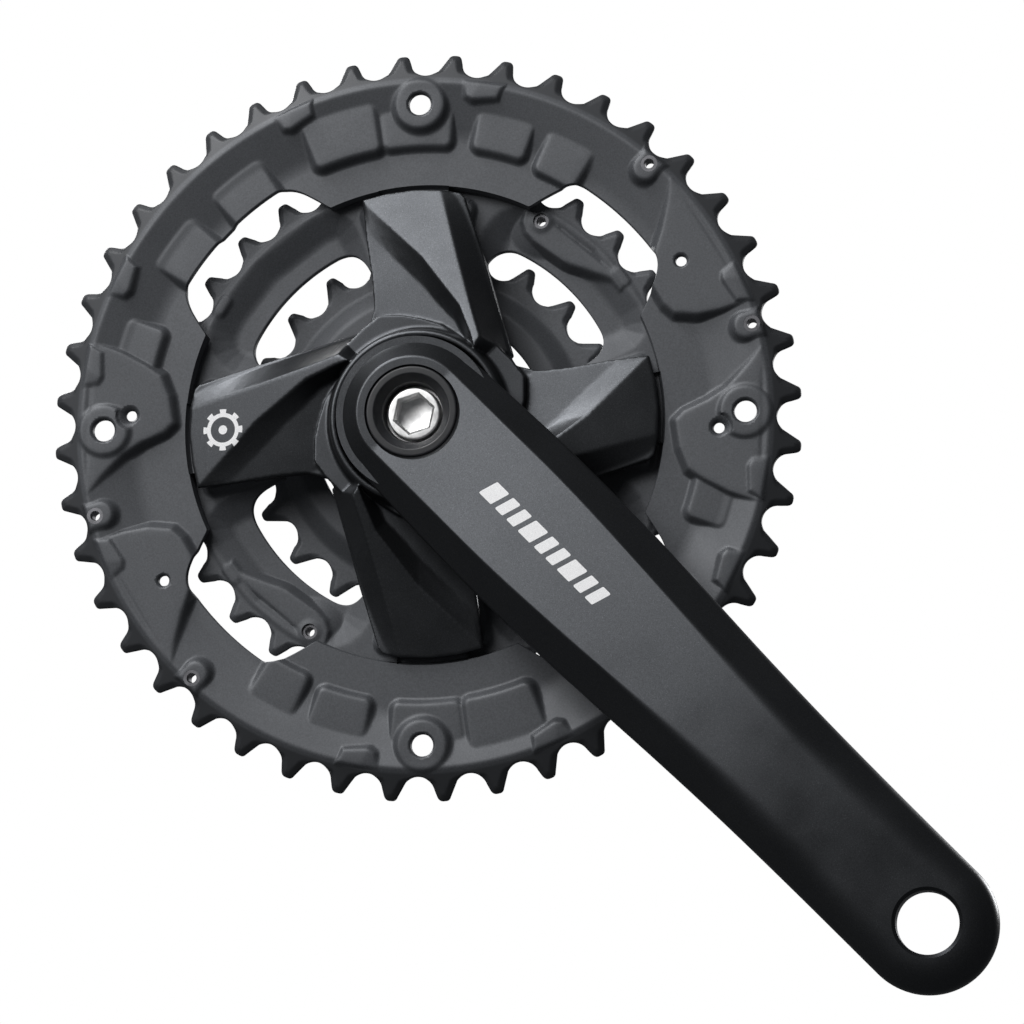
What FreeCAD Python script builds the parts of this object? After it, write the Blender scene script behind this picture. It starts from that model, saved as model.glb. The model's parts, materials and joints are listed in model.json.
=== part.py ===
import FreeCAD, Part
import math
import os

# Drive-side bicycle crank with three riveted chainrings.
# Frame: +Y runs along the spindle toward the bicycle, -Y faces the rider's foot.
# +X is forward, +Z is up. The origin is on the spindle axis, in the middle of
# the thickness of the large ring's teeth. All lengths are millimetres.

# ---- chain and teeth -------------------------------------------------------
PITCH = 12.7
ROLLER_R = 3.95
LARGE_TEETH = 44
MIDDLE_TEETH = 32
SMALL_TEETH = 22
LARGE_TIP_R = 90.9
MIDDLE_TIP_R = 66.4
SMALL_TIP_R = 46.6
LARGE_VALLEY_DEG = 0.0
MIDDLE_VALLEY_DEG = 5.4
SMALL_VALLEY_DEG = 1.7
# how far each roller seat runs clockwise and counter-clockwise of its lowest point
LARGE_SEAT_DEGS = (48.0, 78.0)
MIDDLE_SEAT_DEGS = (70.0, 70.0)
SMALL_SEAT_DEGS = (40.0, 78.0)
# where each tooth's crest starts and stops, measured from the middle of the pitch
LARGE_CREST = (-1.3, 0.15)
MIDDLE_CREST = (-0.75, 0.75)
SMALL_CREST = (-0.65, 0.1)
CREST_CORNER = 0.65
CREST_DROP = 0.5
TOOTH_BEVEL_R = 2.4
TOOTH_BEVEL_Y = 0.7
PLATE_T = 2.0

# ---- planes beyond both faces of every piece, for cuts that go right through -
CLEAR_FRONT = -40.0
CLEAR_BACK = 30.0

# ---- large ring ------------------------------------------------------------
LARGE_Y = -1.0
RIDGE_R = 83.0
RIDGE_Y = -1.5
SHELF_R = 70.5
SHELF_Y = 1.8
LARGE_INNER_R = 57.8
PAD_Y = 0.1
HIGH_PAD_Y = -0.6
GUARD_R = 77.75
GUARD_DEG = 0.9
GUARD_HOLE_R = 2.65
GUARD_BOSS_R = 6.9
GUARD_BOSS_Y = -1.8
WIDE_WINDOW_R = 67.9
WIDE_CORNER_R = 7.0
NARROW_WINDOW_R = 68.8
NARROW_CORNER_R = 5.0
TOOLING_HOLE_R = 1.3
RAMP_A_HOLE = (72.9, 31.3)
RAMP_B_HOLE = (71.4, -2.0)
BITE_R = 2.9
BITE_DEPTH = 0.7
TAB_HALF_DEG = 8.5
TAB_INNER_R = 43.6
ARM_MID_DEG = 93.0

# ---- middle ring -----------------------------------------------------------
MIDDLE_Y = 6.1
LAND_Y = 3.8
LAND_R = 55.4
DISH_Y = 9.0
DISH_RIM_R = 58.0
DISH_FLOOR_R = 53.2
MIDDLE_WINDOW_R = 47.8
LAND_INNER_R = 36.5
DISH_FROM_DEG = 19.5
DISH_TO_DEG = 75.5
DISH_WALL_DEG = 2.2

# ---- small ring ------------------------------------------------------------
SMALL_Y = 15.0
CONE_OUT_R = 37.8
CONE_IN_R = 33.5
SMALL_PLATE_Y = 12.0
SMALL_BORE_R = 28.4
SMALL_EAR_R = 5.0

# ---- spider ----------------------------------------------------------------
SPIDER_BORE_R = 17.4
SPIDER_CUP_R = 19.4
SPIDER_LIP_R = 21.0
SPIDER_LIP_Y = -8.6
SPIDER_FLOOR_Y = 0.0
SPIDER_COLLAR_Y = -4.2
SPIDER_DISC_R = 26.3
SPIDER_BACK_Y = 8.0
POCKET_TILT = 0.12

# ---- rivets and pins -------------------------------------------------------
RIVET_R = 2.5
RIVET_HEAD_R = 3.8
RIVET_HEAD_T = 1.5
OUTER_RIVET_TIP_Y = 0.3
INNER_RIVET_TIP_Y = 1.4
SPACER_R = 4.2
OUTER_RIVET_R = 50.0
MIDDLE_RIVET_R = 39.8
MIDDLE_RIVET_DEG = 88.0
SMALL_RIVET_R = 29.3
SMALL_RIVET_DEG = 84.5
SHIFT_PIN_R = 2.0
SHIFT_PIN_BORE_R = 1.2
SHIFT_PIN_AT_R = 82.3
SHIFT_PIN_DEGS = (15.6, 48.4)
SHIFT_PIN_FRONT_Y = RIDGE_Y - 0.5
SHIFT_COLLAR_Y = 1.65
SHIFT_PIN_BACK_Y = 3.4
PIN_COLLAR_WIDTH = 0.9
MIDDLE_PIN_R = 1.9
MIDDLE_PIN_BORE_R = 1.15
MIDDLE_PIN_AT_R = 56.9
MIDDLE_PIN_DEG = 60.9
MIDDLE_PIN_BACK_Y = 12.0
DROP_PIN_AT_R = 77.5
DROP_PIN_R = 3.0
DROP_PIN_TAIL_R = 2.0
DROP_PIN_FRONT_Y = -8.2
DROP_PIN_BACK_Y = 4.6
SNAP_GROOVE_R = 16.4
SNAP_RING_R = 19.8
SNAP_T = 1.5
SNAP_GAP_HALF = 1.5

# ---- crank arm -------------------------------------------------------------
CRANK_LENGTH = 170.0
CRANK_DEG = -44.86
HUB_R = 18.7
HUB_FLAT_R = 13.6
HUB_FACE_Y = -15.6
HUB_BEVEL_Y = -10.4
HUB_SHOULDER_Y = -4.0
HUB_BACK_Y = 12.0
EYE_R = 16.0
EYE_FACE_Y = -31.0
EYE_BACK_Y = -18.0
BACK_EDGE = 1.6
PEDAL_HOLE_R = 7.14
PEDAL_SINK = 0.8
SOCKET_SMALL_HALF = 6.28
TAPER_DEG = 2.0

# ---- bolt group ------------------------------------------------------------
CAP_THREAD_R = 11.0
CAP_FACE_Y = -15.4
CAP_BACK_Y = -9.8
CAP_OPEN_R = 6.9
WELL_R = 10.05
SEAT_Y = -6.0
BOLT_HEAD_R = 6.3
BOLT_HEAD_Y = -11.7
BOLT_FLANGE_R = 9.0
BOLT_FLANGE_Y = -8.6
BOLT_SHANK_R = 4.0
BOLT_SEAT_Y = -7.06
BOLT_END_Y = 10.0
HEX_HALF = 4.0
HEX_FLOOR_Y = -7.6
HEX_TURN_DEG = 18.0
WASHER_R = 10.02
WASHER_BORE_R = 4.05
WASHER_FRONT_Y = -7.03
WASHER_BACK_Y = SEAT_Y - 0.03
SLIP_IN_R = 7.0
SLIP_OUT_R = 9.9
SLIP_T = 0.55

ORIGIN = FreeCAD.Vector(0, 0, 0)
SPIN = FreeCAD.Vector(0, 1, 0)


def at(x, z, y):
    """A point given across, up and along the spindle."""
    return FreeCAD.Vector(x, y, z)


def polar(r, deg, y=0.0):
    """A point on a circle about the spindle, 0 degrees toward +X."""
    a = math.radians(deg)
    return FreeCAD.Vector(r * math.cos(a), y, r * math.sin(a))


def spun(shape, deg):
    """A copy turned counter-clockwise as seen from -Y."""
    moved = shape.copy()
    moved.rotate(ORIGIN, SPIN, -deg)
    return moved


def loop(points):
    """A closed straight-sided wire."""
    return Part.makePolygon(list(points) + [points[0]])


def flat(points):
    """The (x, z) places of (degrees, radius) points."""
    return [(r * math.cos(math.radians(a)), r * math.sin(math.radians(a))) for a, r in points]


def prism(points, y0, y1):
    """A flat outline of (x, z) points given thickness from y0 to y1."""
    face = Part.Face(loop([at(x, z, y0) for x, z in points]))
    return face.extrude(FreeCAD.Vector(0, y1 - y0, 0))


def turned(points):
    """A solid of revolution about the spindle from (r, y) points."""
    face = Part.Face(loop([FreeCAD.Vector(r, y, 0) for r, y in points]))
    return face.revolve(ORIGIN, SPIN, 360)


def drum(r, y0, y1, centre=ORIGIN):
    """A cylinder parallel to the spindle."""
    base = FreeCAD.Vector(centre.x, y0, centre.z)
    return Part.makeCylinder(r, y1 - y0, base, SPIN)


def bore(r, centre=ORIGIN):
    """A round cutter that goes right through, parallel to the spindle."""
    return drum(r, CLEAR_FRONT, CLEAR_BACK, centre)


def tube(r_in, r_out, y0, y1, centre=ORIGIN):
    """A hollow cylinder parallel to the spindle."""
    return drum(r_out, y0, y1, centre).cut(bore(r_in, centre))


def sector_wire(r0, r1, a0, a1, y):
    """An outline between two radii and two angles."""
    mid = (a0 + a1) / 2.0
    inner = Part.Arc(polar(r0, a0, y), polar(r0, mid, y), polar(r0, a1, y)).toShape()
    side_b = Part.makeLine(polar(r0, a1, y), polar(r1, a1, y))
    outer = Part.Arc(polar(r1, a1, y), polar(r1, mid, y), polar(r1, a0, y)).toShape()
    side_a = Part.makeLine(polar(r1, a0, y), polar(r0, a0, y))
    return Part.Wire([inner, side_b, outer, side_a])


def sector(r0, r1, a0, a1, y0, y1):
    """A block between two radii and two angles."""
    return Part.Face(sector_wire(r0, r1, a0, a1, y0)).extrude(FreeCAD.Vector(0, y1 - y0, 0))


def pad(r0, r1, a0, a1, top, foot, flare=1.3):
    """A raised pad whose side walls lean outward from its top to its foot."""
    lean = math.degrees(flare / ((r0 + r1) / 2.0))
    upper = sector_wire(r0, r1, a0, a1, top)
    lower = sector_wire(r0 - flare, r1 + 0.01, a0 - lean, a1 + lean, foot)
    return Part.makeLoft([upper, lower], True, True)


def leaning(points, top, foot, flare):
    """A raised polygon given as (degrees, radius), spreading toward its foot."""
    xz = flat(points)
    cx = sum(p[0] for p in xz) / len(xz)
    cz = sum(p[1] for p in xz) / len(xz)
    low = []
    for x, z in xz:
        d = math.hypot(x - cx, z - cz)
        k = (d + flare) / d
        low.append((cx + (x - cx) * k, cz + (z - cz) * k))
    upper = loop([at(x, z, top) for x, z in xz])
    lower = loop([at(x, z, foot) for x, z in low])
    return Part.makeLoft([upper, lower], True, True)


def boss(r, deg, top_r, foot_r, top, foot):
    """A round boss with a leaning wall."""
    return Part.makeCone(top_r, foot_r, foot - top, polar(r, deg, top), SPIN)


def toothed_block(teeth, tip_r, first_valley, seat_degs, crest):
    """A thick disc with roller seats and leaning, blunt teeth round its edge."""
    step = 360.0 / teeth
    pitch_r = PITCH / (2.0 * math.sin(math.radians(step / 2.0)))
    edges = []
    last = None
    first = None
    for k in range(teeth):
        a = math.radians(first_valley + k * step)
        out = FreeCAD.Vector(math.cos(a), 0, math.sin(a))
        side = FreeCAD.Vector(-math.sin(a), 0, math.cos(a))
        seat = []
        for swing in (-seat_degs[0], 0.0, seat_degs[1]):
            b = math.radians(swing)
            seat.append(out * (pitch_r - ROLLER_R * math.cos(b)) + side * (ROLLER_R * math.sin(b)))
        if last is not None:
            edges.append(Part.makeLine(last, seat[0]))
        else:
            first = seat[0]
        edges.append(Part.Arc(seat[0], seat[1], seat[2]).toShape())
        last = seat[2]
        tooth_deg = first_valley + (k + 0.5) * step
        for along, r in ((crest[0] - CREST_CORNER, tip_r - CREST_DROP), (crest[0], tip_r),
                         (crest[1], tip_r), (crest[1] + CREST_CORNER, tip_r - CREST_DROP)):
            ahead = polar(r, tooth_deg + math.degrees(along / tip_r))
            edges.append(Part.makeLine(last, ahead))
            last = ahead
    edges.append(Part.makeLine(last, first))
    face = Part.Face(Part.Wire(edges))
    face.translate(FreeCAD.Vector(0, CLEAR_FRONT, 0))
    return face.extrude(FreeCAD.Vector(0, CLEAR_BACK - CLEAR_FRONT, 0))


def fused(first, others):
    """One solid made by joining pieces that overlap."""
    out = first.fuse(others)
    return out.removeSplitter()


# ---- large chainring -------------------------------------------------------

def slope_y(r):
    """Front face height of the dished band at a radius."""
    return RIDGE_Y + (RIDGE_R - r) * (SHELF_Y - RIDGE_Y) / (RIDGE_R - SHELF_R)


def large_plate():
    """The stamped section, spun round the spindle."""
    t = PLATE_T
    front = [(LARGE_INNER_R, SHELF_Y + 0.7), (LARGE_INNER_R + 0.7, SHELF_Y),
             (SHELF_R, SHELF_Y), (RIDGE_R, RIDGE_Y), (RIDGE_R + 0.8, LARGE_Y),
             (LARGE_TIP_R - TOOTH_BEVEL_R, LARGE_Y), (LARGE_TIP_R + 0.2, LARGE_Y + TOOTH_BEVEL_Y)]
    back = [(LARGE_TIP_R + 0.2, LARGE_Y + t - TOOTH_BEVEL_Y),
            (LARGE_TIP_R - TOOTH_BEVEL_R, LARGE_Y + t), (RIDGE_R + 1.4, LARGE_Y + t),
            (RIDGE_R + 0.5, RIDGE_Y + t + 0.1),
            (SHELF_R + 0.3, SHELF_Y + t), (LARGE_INNER_R, SHELF_Y + t)]
    return turned(front + back)


def window(low_a, top_a, top_b, low_b, top_r, corner_r):
    """An opening with leaning sides, an arched top and rounded top corners."""
    low_r = LARGE_INNER_R - 6.0
    left = polar(top_r, top_a, CLEAR_FRONT)
    right = polar(top_r, top_b, CLEAR_FRONT)
    start = polar(low_r, low_a, CLEAR_FRONT)
    end = polar(low_r, low_b, CLEAR_FRONT)
    arch = Part.Arc(left, polar(top_r, (top_a + top_b) / 2.0, CLEAR_FRONT), right).toShape()
    sides = [Part.makeLine(start, left), arch, Part.makeLine(right, end), Part.makeLine(end, start)]
    block = Part.Face(Part.Wire(sides)).extrude(FreeCAD.Vector(0, CLEAR_BACK - CLEAR_FRONT, 0))
    corners = []
    for edge in block.Edges:
        ends = [v.Point for v in edge.Vertexes]
        upright = abs(ends[0].y - ends[1].y) > 1.0
        if upright and math.hypot(ends[0].x, ends[0].z) > top_r - 1.0:
            corners.append(edge)
    return block.makeFillet(corner_r, corners)


def large_windows():
    """Four openings; the two kinds repeat half a turn apart."""
    wide = window(109.8, 120.0, 151.4, 161.0, WIDE_WINDOW_R, WIDE_CORNER_R)
    narrow = window(21.4, 33.5, 57.8, 68.0, NARROW_WINDOW_R, NARROW_CORNER_R)
    return [spun(cut, turn) for turn in (0, 180) for cut in (wide, narrow)]


def large_pads():
    """Stamped pads, ramps and bosses of one half, copied half a turn round."""
    foot = SHELF_Y + 0.8
    made = [pad(67.8, 79.3, 99.2, 112.4, HIGH_PAD_Y, foot),
            pad(68.0, 76.7, 84.9, 98.6, PAD_Y, foot),
            pad(68.0, 76.7, 69.6, 80.2, PAD_Y, foot),
            pad(67.0, 76.7, 57.6, 66.6, PAD_Y, foot),
            pad(68.2, 76.6, 138.6, 149.2, PAD_Y, foot, 0.6),
            pad(68.2, 76.6, 122.2, 133.0, PAD_Y, foot, 0.6),
            pad(68.0, 76.6, -19.8, -13.0, PAD_Y, foot)]
    made.append(leaning([(39.5, 78.6), (37.0, 74.0), (34.2, 69.0), (31.0, 65.0),
                         (26.0, 65.0), (23.6, 66.4), (21.2, 72.0), (20.6, 79.0)],
                        HIGH_PAD_Y, foot, 1.1))
    made.append(leaning([(8.0, 78.4), (3.6, 71.5), (1.6, 66.0), (-0.4, 61.6),
                         (-7.0, 63.6), (-10.6, 66.0), (-11.8, 70.0), (-13.6, 78.6)],
                        HIGH_PAD_Y, foot, 1.1))
    for deg in (GUARD_DEG, GUARD_DEG + 90):
        made.append(boss(GUARD_R, deg, GUARD_BOSS_R - 1.1, GUARD_BOSS_R, GUARD_BOSS_Y, SHELF_Y))
    for deg in SHIFT_PIN_DEGS:
        made.append(boss(SHIFT_PIN_AT_R, deg, 3.3, 4.2, SHIFT_PIN_FRONT_Y, 0.9))
        made.append(pad(78.6, SHIFT_PIN_AT_R, deg - 2.2, deg + 2.2, SHIFT_PIN_FRONT_Y, 0.9, 0.9))
    for deg in (23.1, 80.2, 113.0, 154.0, 170.0):
        made.append(pad(80.2, 83.6, deg - 2.7, deg + 2.7, RIDGE_Y - 0.35, 0.6, 0.9))
    return made + [spun(p, 180) for p in made]


def large_chainring():
    """The outer ring: toothed, dished, padded, windowed and tabbed inward."""
    body = large_plate()
    body = fused(body, large_pads())
    body = body.common(toothed_block(LARGE_TEETH, LARGE_TIP_R, LARGE_VALLEY_DEG,
                                     LARGE_SEAT_DEGS, LARGE_CREST))
    cutters = large_windows()
    for k in range(4):
        cutters.append(bore(GUARD_HOLE_R, polar(GUARD_R, GUARD_DEG + 90 * k)))
    for turn in (0, 180):
        hole_a = polar(RAMP_A_HOLE[0], RAMP_A_HOLE[1] + turn)
        hole_b = polar(RAMP_B_HOLE[0], RAMP_B_HOLE[1] + turn)
        cutters.append(bore(TOOLING_HOLE_R, hole_a))
        cutters.append(bore(TOOLING_HOLE_R, hole_b))
        cutters.append(drum(BITE_R, CLEAR_FRONT, HIGH_PAD_Y + BITE_DEPTH, hole_b))
        for deg in SHIFT_PIN_DEGS:
            cutters.append(bore(SHIFT_PIN_R, polar(SHIFT_PIN_AT_R, deg + turn)))
    cutters.append(bore(DROP_PIN_TAIL_R, polar(DROP_PIN_AT_R, CRANK_DEG)))
    body = body.cut(cutters)
    tabs = []
    for k in range(4):
        mid = ARM_MID_DEG + 90 * k
        tab = sector(TAB_INNER_R, LARGE_INNER_R + 1.5, mid - TAB_HALF_DEG, mid + TAB_HALF_DEG,
                     SHELF_Y, LAND_Y)
        tabs.append(tab.cut(bore(RIVET_R, polar(OUTER_RIVET_R, mid))))
    return fused(body, tabs)


# ---- middle chainring ------------------------------------------------------

def middle_dish():
    """The sloping dished band that fills each opening between the arms."""
    t = PLATE_T
    return turned([(MIDDLE_WINDOW_R, DISH_Y), (DISH_FLOOR_R, DISH_Y), (DISH_RIM_R, MIDDLE_Y),
                   (DISH_RIM_R + 0.6, MIDDLE_Y), (DISH_RIM_R + 0.6, MIDDLE_Y + t),
                   (DISH_FLOOR_R + 0.6, DISH_Y + t), (MIDDLE_WINDOW_R, DISH_Y + t)])


def middle_land():
    """The raised land that the arms of the spider sit on."""
    t = PLATE_T
    return turned([(LAND_INNER_R, LAND_Y), (LAND_R, LAND_Y), (LAND_R + 1.2, MIDDLE_Y),
                   (DISH_RIM_R, MIDDLE_Y), (DISH_RIM_R, MIDDLE_Y + t),
                   (LAND_R, MIDDLE_Y + t), (LAND_R - 1.2, LAND_Y + t), (LAND_INNER_R, LAND_Y + t)])


def lifting_pocket():
    """The deep stamped step beside each hollow pin."""
    corners = [(66.0, 59.0), (65.5, 55.0), (63.0, 52.3), (58.0, 51.0), (50.0, 51.2),
               (46.0, 52.3), (37.5, 56.6), (33.2, 57.5), (33.0, 59.0)]
    return prism(flat(corners), MIDDLE_Y, DISH_Y + 0.8)


def middle_chainring():
    """The middle ring with four lands, four dished openings and lifting pads."""
    t = PLATE_T
    rim = turned([(DISH_RIM_R - 0.6, MIDDLE_Y), (MIDDLE_TIP_R - TOOTH_BEVEL_R, MIDDLE_Y),
                  (MIDDLE_TIP_R + 0.2, MIDDLE_Y + TOOTH_BEVEL_Y),
                  (MIDDLE_TIP_R + 0.2, MIDDLE_Y + t - TOOTH_BEVEL_Y),
                  (MIDDLE_TIP_R - TOOTH_BEVEL_R, MIDDLE_Y + t), (DISH_RIM_R - 0.6, MIDDLE_Y + t)])
    dish = middle_dish()
    land = middle_land()
    pieces = []
    for k in range(4):
        a0 = DISH_FROM_DEG + 90 * k
        a1 = DISH_TO_DEG + 90 * k
        pieces.append(dish.common(sector(40, 70, a0, a1, 0, 14)))
        pieces.append(land.common(sector(40, 70, a1 - 0.01, a0 + 90.01, 0, 14)))
        pieces.append(sector(LAND_INNER_R, 48, a1 + 2.5, a0 + 87.0, LAND_Y, LAND_Y + t))
        for lo, hi in ((a0 - DISH_WALL_DEG, a0), (a1, a1 + DISH_WALL_DEG)):
            pieces.append(sector(MIDDLE_WINDOW_R, DISH_RIM_R, lo, hi, LAND_Y + 0.4, DISH_Y + t))
    for turn in (0, 180):
        pieces.append(spun(lifting_pocket(), turn))
        pieces.append(spun(pad(57.0, 59.6, 34.0, 39.5, MIDDLE_Y - 0.6, MIDDLE_Y + 1, 0.5), turn))
        pieces.append(spun(pad(56.4, 59.6, 146.6, 152.2, MIDDLE_Y - 0.6, MIDDLE_Y + 1, 0.5), turn))
    body = fused(rim, pieces)
    body = body.common(toothed_block(MIDDLE_TEETH, MIDDLE_TIP_R, MIDDLE_VALLEY_DEG,
                                     MIDDLE_SEAT_DEGS, MIDDLE_CREST))
    cutters = []
    for k in range(4):
        cutters.append(bore(RIVET_R, polar(OUTER_RIVET_R, ARM_MID_DEG + 90 * k)))
        cutters.append(bore(RIVET_R, polar(MIDDLE_RIVET_R, MIDDLE_RIVET_DEG + 90 * k)))
    for turn in (0, 180):
        cutters.append(bore(MIDDLE_PIN_R, polar(MIDDLE_PIN_AT_R, MIDDLE_PIN_DEG + turn)))
    return body.cut(cutters)


# ---- small chainring -------------------------------------------------------

def small_chainring():
    """The inner ring: flat tooth band, cone and a flat riveted plate."""
    t = PLATE_T
    plate = turned([(SMALL_BORE_R, SMALL_PLATE_Y), (CONE_IN_R, SMALL_PLATE_Y),
                    (CONE_OUT_R, SMALL_Y), (SMALL_TIP_R - TOOTH_BEVEL_R, SMALL_Y),
                    (SMALL_TIP_R + 0.2, SMALL_Y + TOOTH_BEVEL_Y),
                    (SMALL_TIP_R + 0.2, SMALL_Y + t - TOOTH_BEVEL_Y),
                    (SMALL_TIP_R - TOOTH_BEVEL_R, SMALL_Y + t), (CONE_OUT_R, SMALL_Y + t),
                    (CONE_IN_R, SMALL_PLATE_Y + t), (SMALL_BORE_R, SMALL_PLATE_Y + t)])
    body = plate.common(toothed_block(SMALL_TEETH, SMALL_TIP_R, SMALL_VALLEY_DEG,
                                      SMALL_SEAT_DEGS, SMALL_CREST))
    spots = [polar(SMALL_RIVET_R, SMALL_RIVET_DEG + 90 * k) for k in range(4)]
    ears = [drum(SMALL_EAR_R, SMALL_PLATE_Y, SMALL_PLATE_Y + t, spot) for spot in spots]
    body = fused(body, [ear.common(bore(CONE_IN_R - 0.5)) for ear in ears])
    holes = [bore(RIVET_R, spot) for spot in spots]
    return body.cut(holes)


# ---- rivets, spacers and pins ----------------------------------------------

def rivet(r, deg, y0, y1):
    """A rivet pressed blind into the spider, with a coned head at its back end."""
    shank = drum(RIVET_R, y0, y1 + 0.2, polar(r, deg))
    base = polar(r, deg, y1)
    head = Part.makeCone(RIVET_HEAD_R, RIVET_HEAD_R - 1.4, RIVET_HEAD_T, base, SPIN)
    return fused(shank, [head])


def group(solids):
    """Separate solids kept together as one part."""
    return Part.makeCompound(solids)


def large_ring_rivets():
    """Four rivets through the large ring's tabs and the middle ring's lands."""
    return group([rivet(OUTER_RIVET_R, ARM_MID_DEG + 90 * k, OUTER_RIVET_TIP_Y, LAND_Y + PLATE_T)
                  for k in range(4)])


def middle_ring_rivets():
    """Four rivets that hold the middle ring's lands to the spider."""
    return group([rivet(MIDDLE_RIVET_R, MIDDLE_RIVET_DEG + 90 * k, INNER_RIVET_TIP_Y,
                        LAND_Y + PLATE_T) for k in range(4)])


def small_ring_rivets():
    """Four long rivets that pass through the spacers into the spider."""
    return group([rivet(SMALL_RIVET_R, SMALL_RIVET_DEG + 90 * k, INNER_RIVET_TIP_Y,
                        SMALL_PLATE_Y + PLATE_T) for k in range(4)])


def small_ring_spacers():
    """Four tubes that stand the small ring off the back of the spider."""
    return group([tube(RIVET_R, SPACER_R, LAND_Y, SMALL_PLATE_Y,
                       polar(SMALL_RIVET_R, SMALL_RIVET_DEG + 90 * k)) for k in range(4)])


def shift_pin(r, deg, pin_r, bore_r, y0, back, y1):
    """A hollow pin set in a ring, with a collar standing out behind it."""
    where = polar(r, deg)
    stem = tube(bore_r, pin_r, y0, y1, where)
    collar = tube(bore_r, pin_r + PIN_COLLAR_WIDTH, back, y1, where)
    return fused(stem, [collar])


def large_ring_shift_pins():
    """Four hollow pins that lift the chain onto the large ring."""
    return group([shift_pin(SHIFT_PIN_AT_R, deg + turn, SHIFT_PIN_R, SHIFT_PIN_BORE_R,
                            SHIFT_PIN_FRONT_Y, SHIFT_COLLAR_Y, SHIFT_PIN_BACK_Y)
                  for turn in (0, 180) for deg in SHIFT_PIN_DEGS])


def middle_ring_shift_pins():
    """Two hollow pins that lift the chain onto the middle ring."""
    return group([shift_pin(MIDDLE_PIN_AT_R, MIDDLE_PIN_DEG + turn, MIDDLE_PIN_R,
                            MIDDLE_PIN_BORE_R, MIDDLE_Y, DISH_Y + PLATE_T, MIDDLE_PIN_BACK_Y)
                  for turn in (0, 180)])


def chain_drop_pin():
    """A peg on the large ring that keeps a dropped chain off the crank arm."""
    where = polar(DROP_PIN_AT_R, CRANK_DEG)
    seat = slope_y(DROP_PIN_AT_R + DROP_PIN_R) - 0.2
    peg = drum(DROP_PIN_R, DROP_PIN_FRONT_Y, seat, where)
    tail = drum(DROP_PIN_TAIL_R, seat - 0.5, DROP_PIN_BACK_Y, where)
    head = tube(DROP_PIN_TAIL_R - 0.2, DROP_PIN_R, DROP_PIN_BACK_Y - 1.0, DROP_PIN_BACK_Y, where)
    return fused(peg, [tail, head])


# ---- spider ----------------------------------------------------------------

def blade_y(x, z):
    """Height of the slanting front plane of the blade on the upright arm."""
    return -11.40 - 0.0421 * x + 0.1941 * z


def arm_outline():
    """Footprint of the upright arm, counter-clockwise corner of the tip first."""
    left = [(-15.3, 54.6), (-14.2, 45.0), (-12.7, 35.5), (-12.0, 28.0), (-14.0, 20.0)]
    right = [(14.0, 12.0), (21.8, 16.0), (18.4, 27.0), (14.6, 40.0), (9.9, 54.6), (8.9, 55.9)]
    tip = [(4.2, 56.8), (-3.0, 56.9), (-9.5, 56.1)]
    return left + right + tip


def arm_blade():
    """The high leaning blade along the clockwise side of the upright arm."""
    pairs = [((-15.2, 54.5), (-15.2, 54.5)), ((-9.5, 56.0), (-9.5, 56.0)),
             ((-3.0, 56.8), (-3.0, 56.8)), ((8.6, 55.9), (3.8, 56.8)),
             ((9.8, 54.5), (4.3, 55.6)), ((14.5, 40.0), (8.7, 40.0)),
             ((18.3, 27.0), (12.6, 27.0)), ((21.6, 16.1), (15.2, 19.0)),
             ((17.0, 13.0), (13.6, 16.4)), ((10.8, 17.2), (12.4, 20.4)),
             ((7.4, 22.3), (9.6, 27.2)), ((2.0, 24.1), (-0.4, 40.3)),
             ((-13.0, 38.0), (-13.9, 53.2))]
    low = loop([at(x, z, SPIDER_FLOOR_Y + 0.4) for (x, z), _ in pairs])
    high = loop([at(x, z, blade_y(x, z)) for _, (x, z) in pairs])
    return Part.makeLoft([low, high], True, True)


def pocket_y(x, z):
    """Height of the leaning floor beside the blade on the upright arm."""
    return -POCKET_TILT * (x + 12.0 + 0.124 * (z - 28.0))


def arm_pocket():
    """The floor that rises from the counter-clockwise edge of the arm to the blade."""
    points = [(-15.3, 54.6), (-14.2, 45.0), (-12.7, 35.5), (-12.0, 28.0), (-9.0, 22.0),
              (8.0, 17.5), (12.4, 20.4), (9.6, 27.2), (-0.4, 40.3), (-13.9, 53.2)]
    low = loop([at(x, z, SPIDER_FLOOR_Y + 0.4) for x, z in points])
    high = loop([at(x, z, pocket_y(x, z)) for x, z in points])
    return Part.makeLoft([low, high], True, True)


def arm_collar():
    """The low step that wraps the hub on the counter-clockwise side of an arm."""
    return prism([(-18.5, 17.5), (-14.5, 21.8), (-10.0, 25.3), (-5.0, 25.5), (0.0, 24.5),
                  (5.0, 23.0), (10.0, 19.7), (13.4, 16.6), (6.0, 16.0), (-10.0, 14.0)],
                 SPIDER_COLLAR_Y, SPIDER_FLOOR_Y + 0.4)


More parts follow.
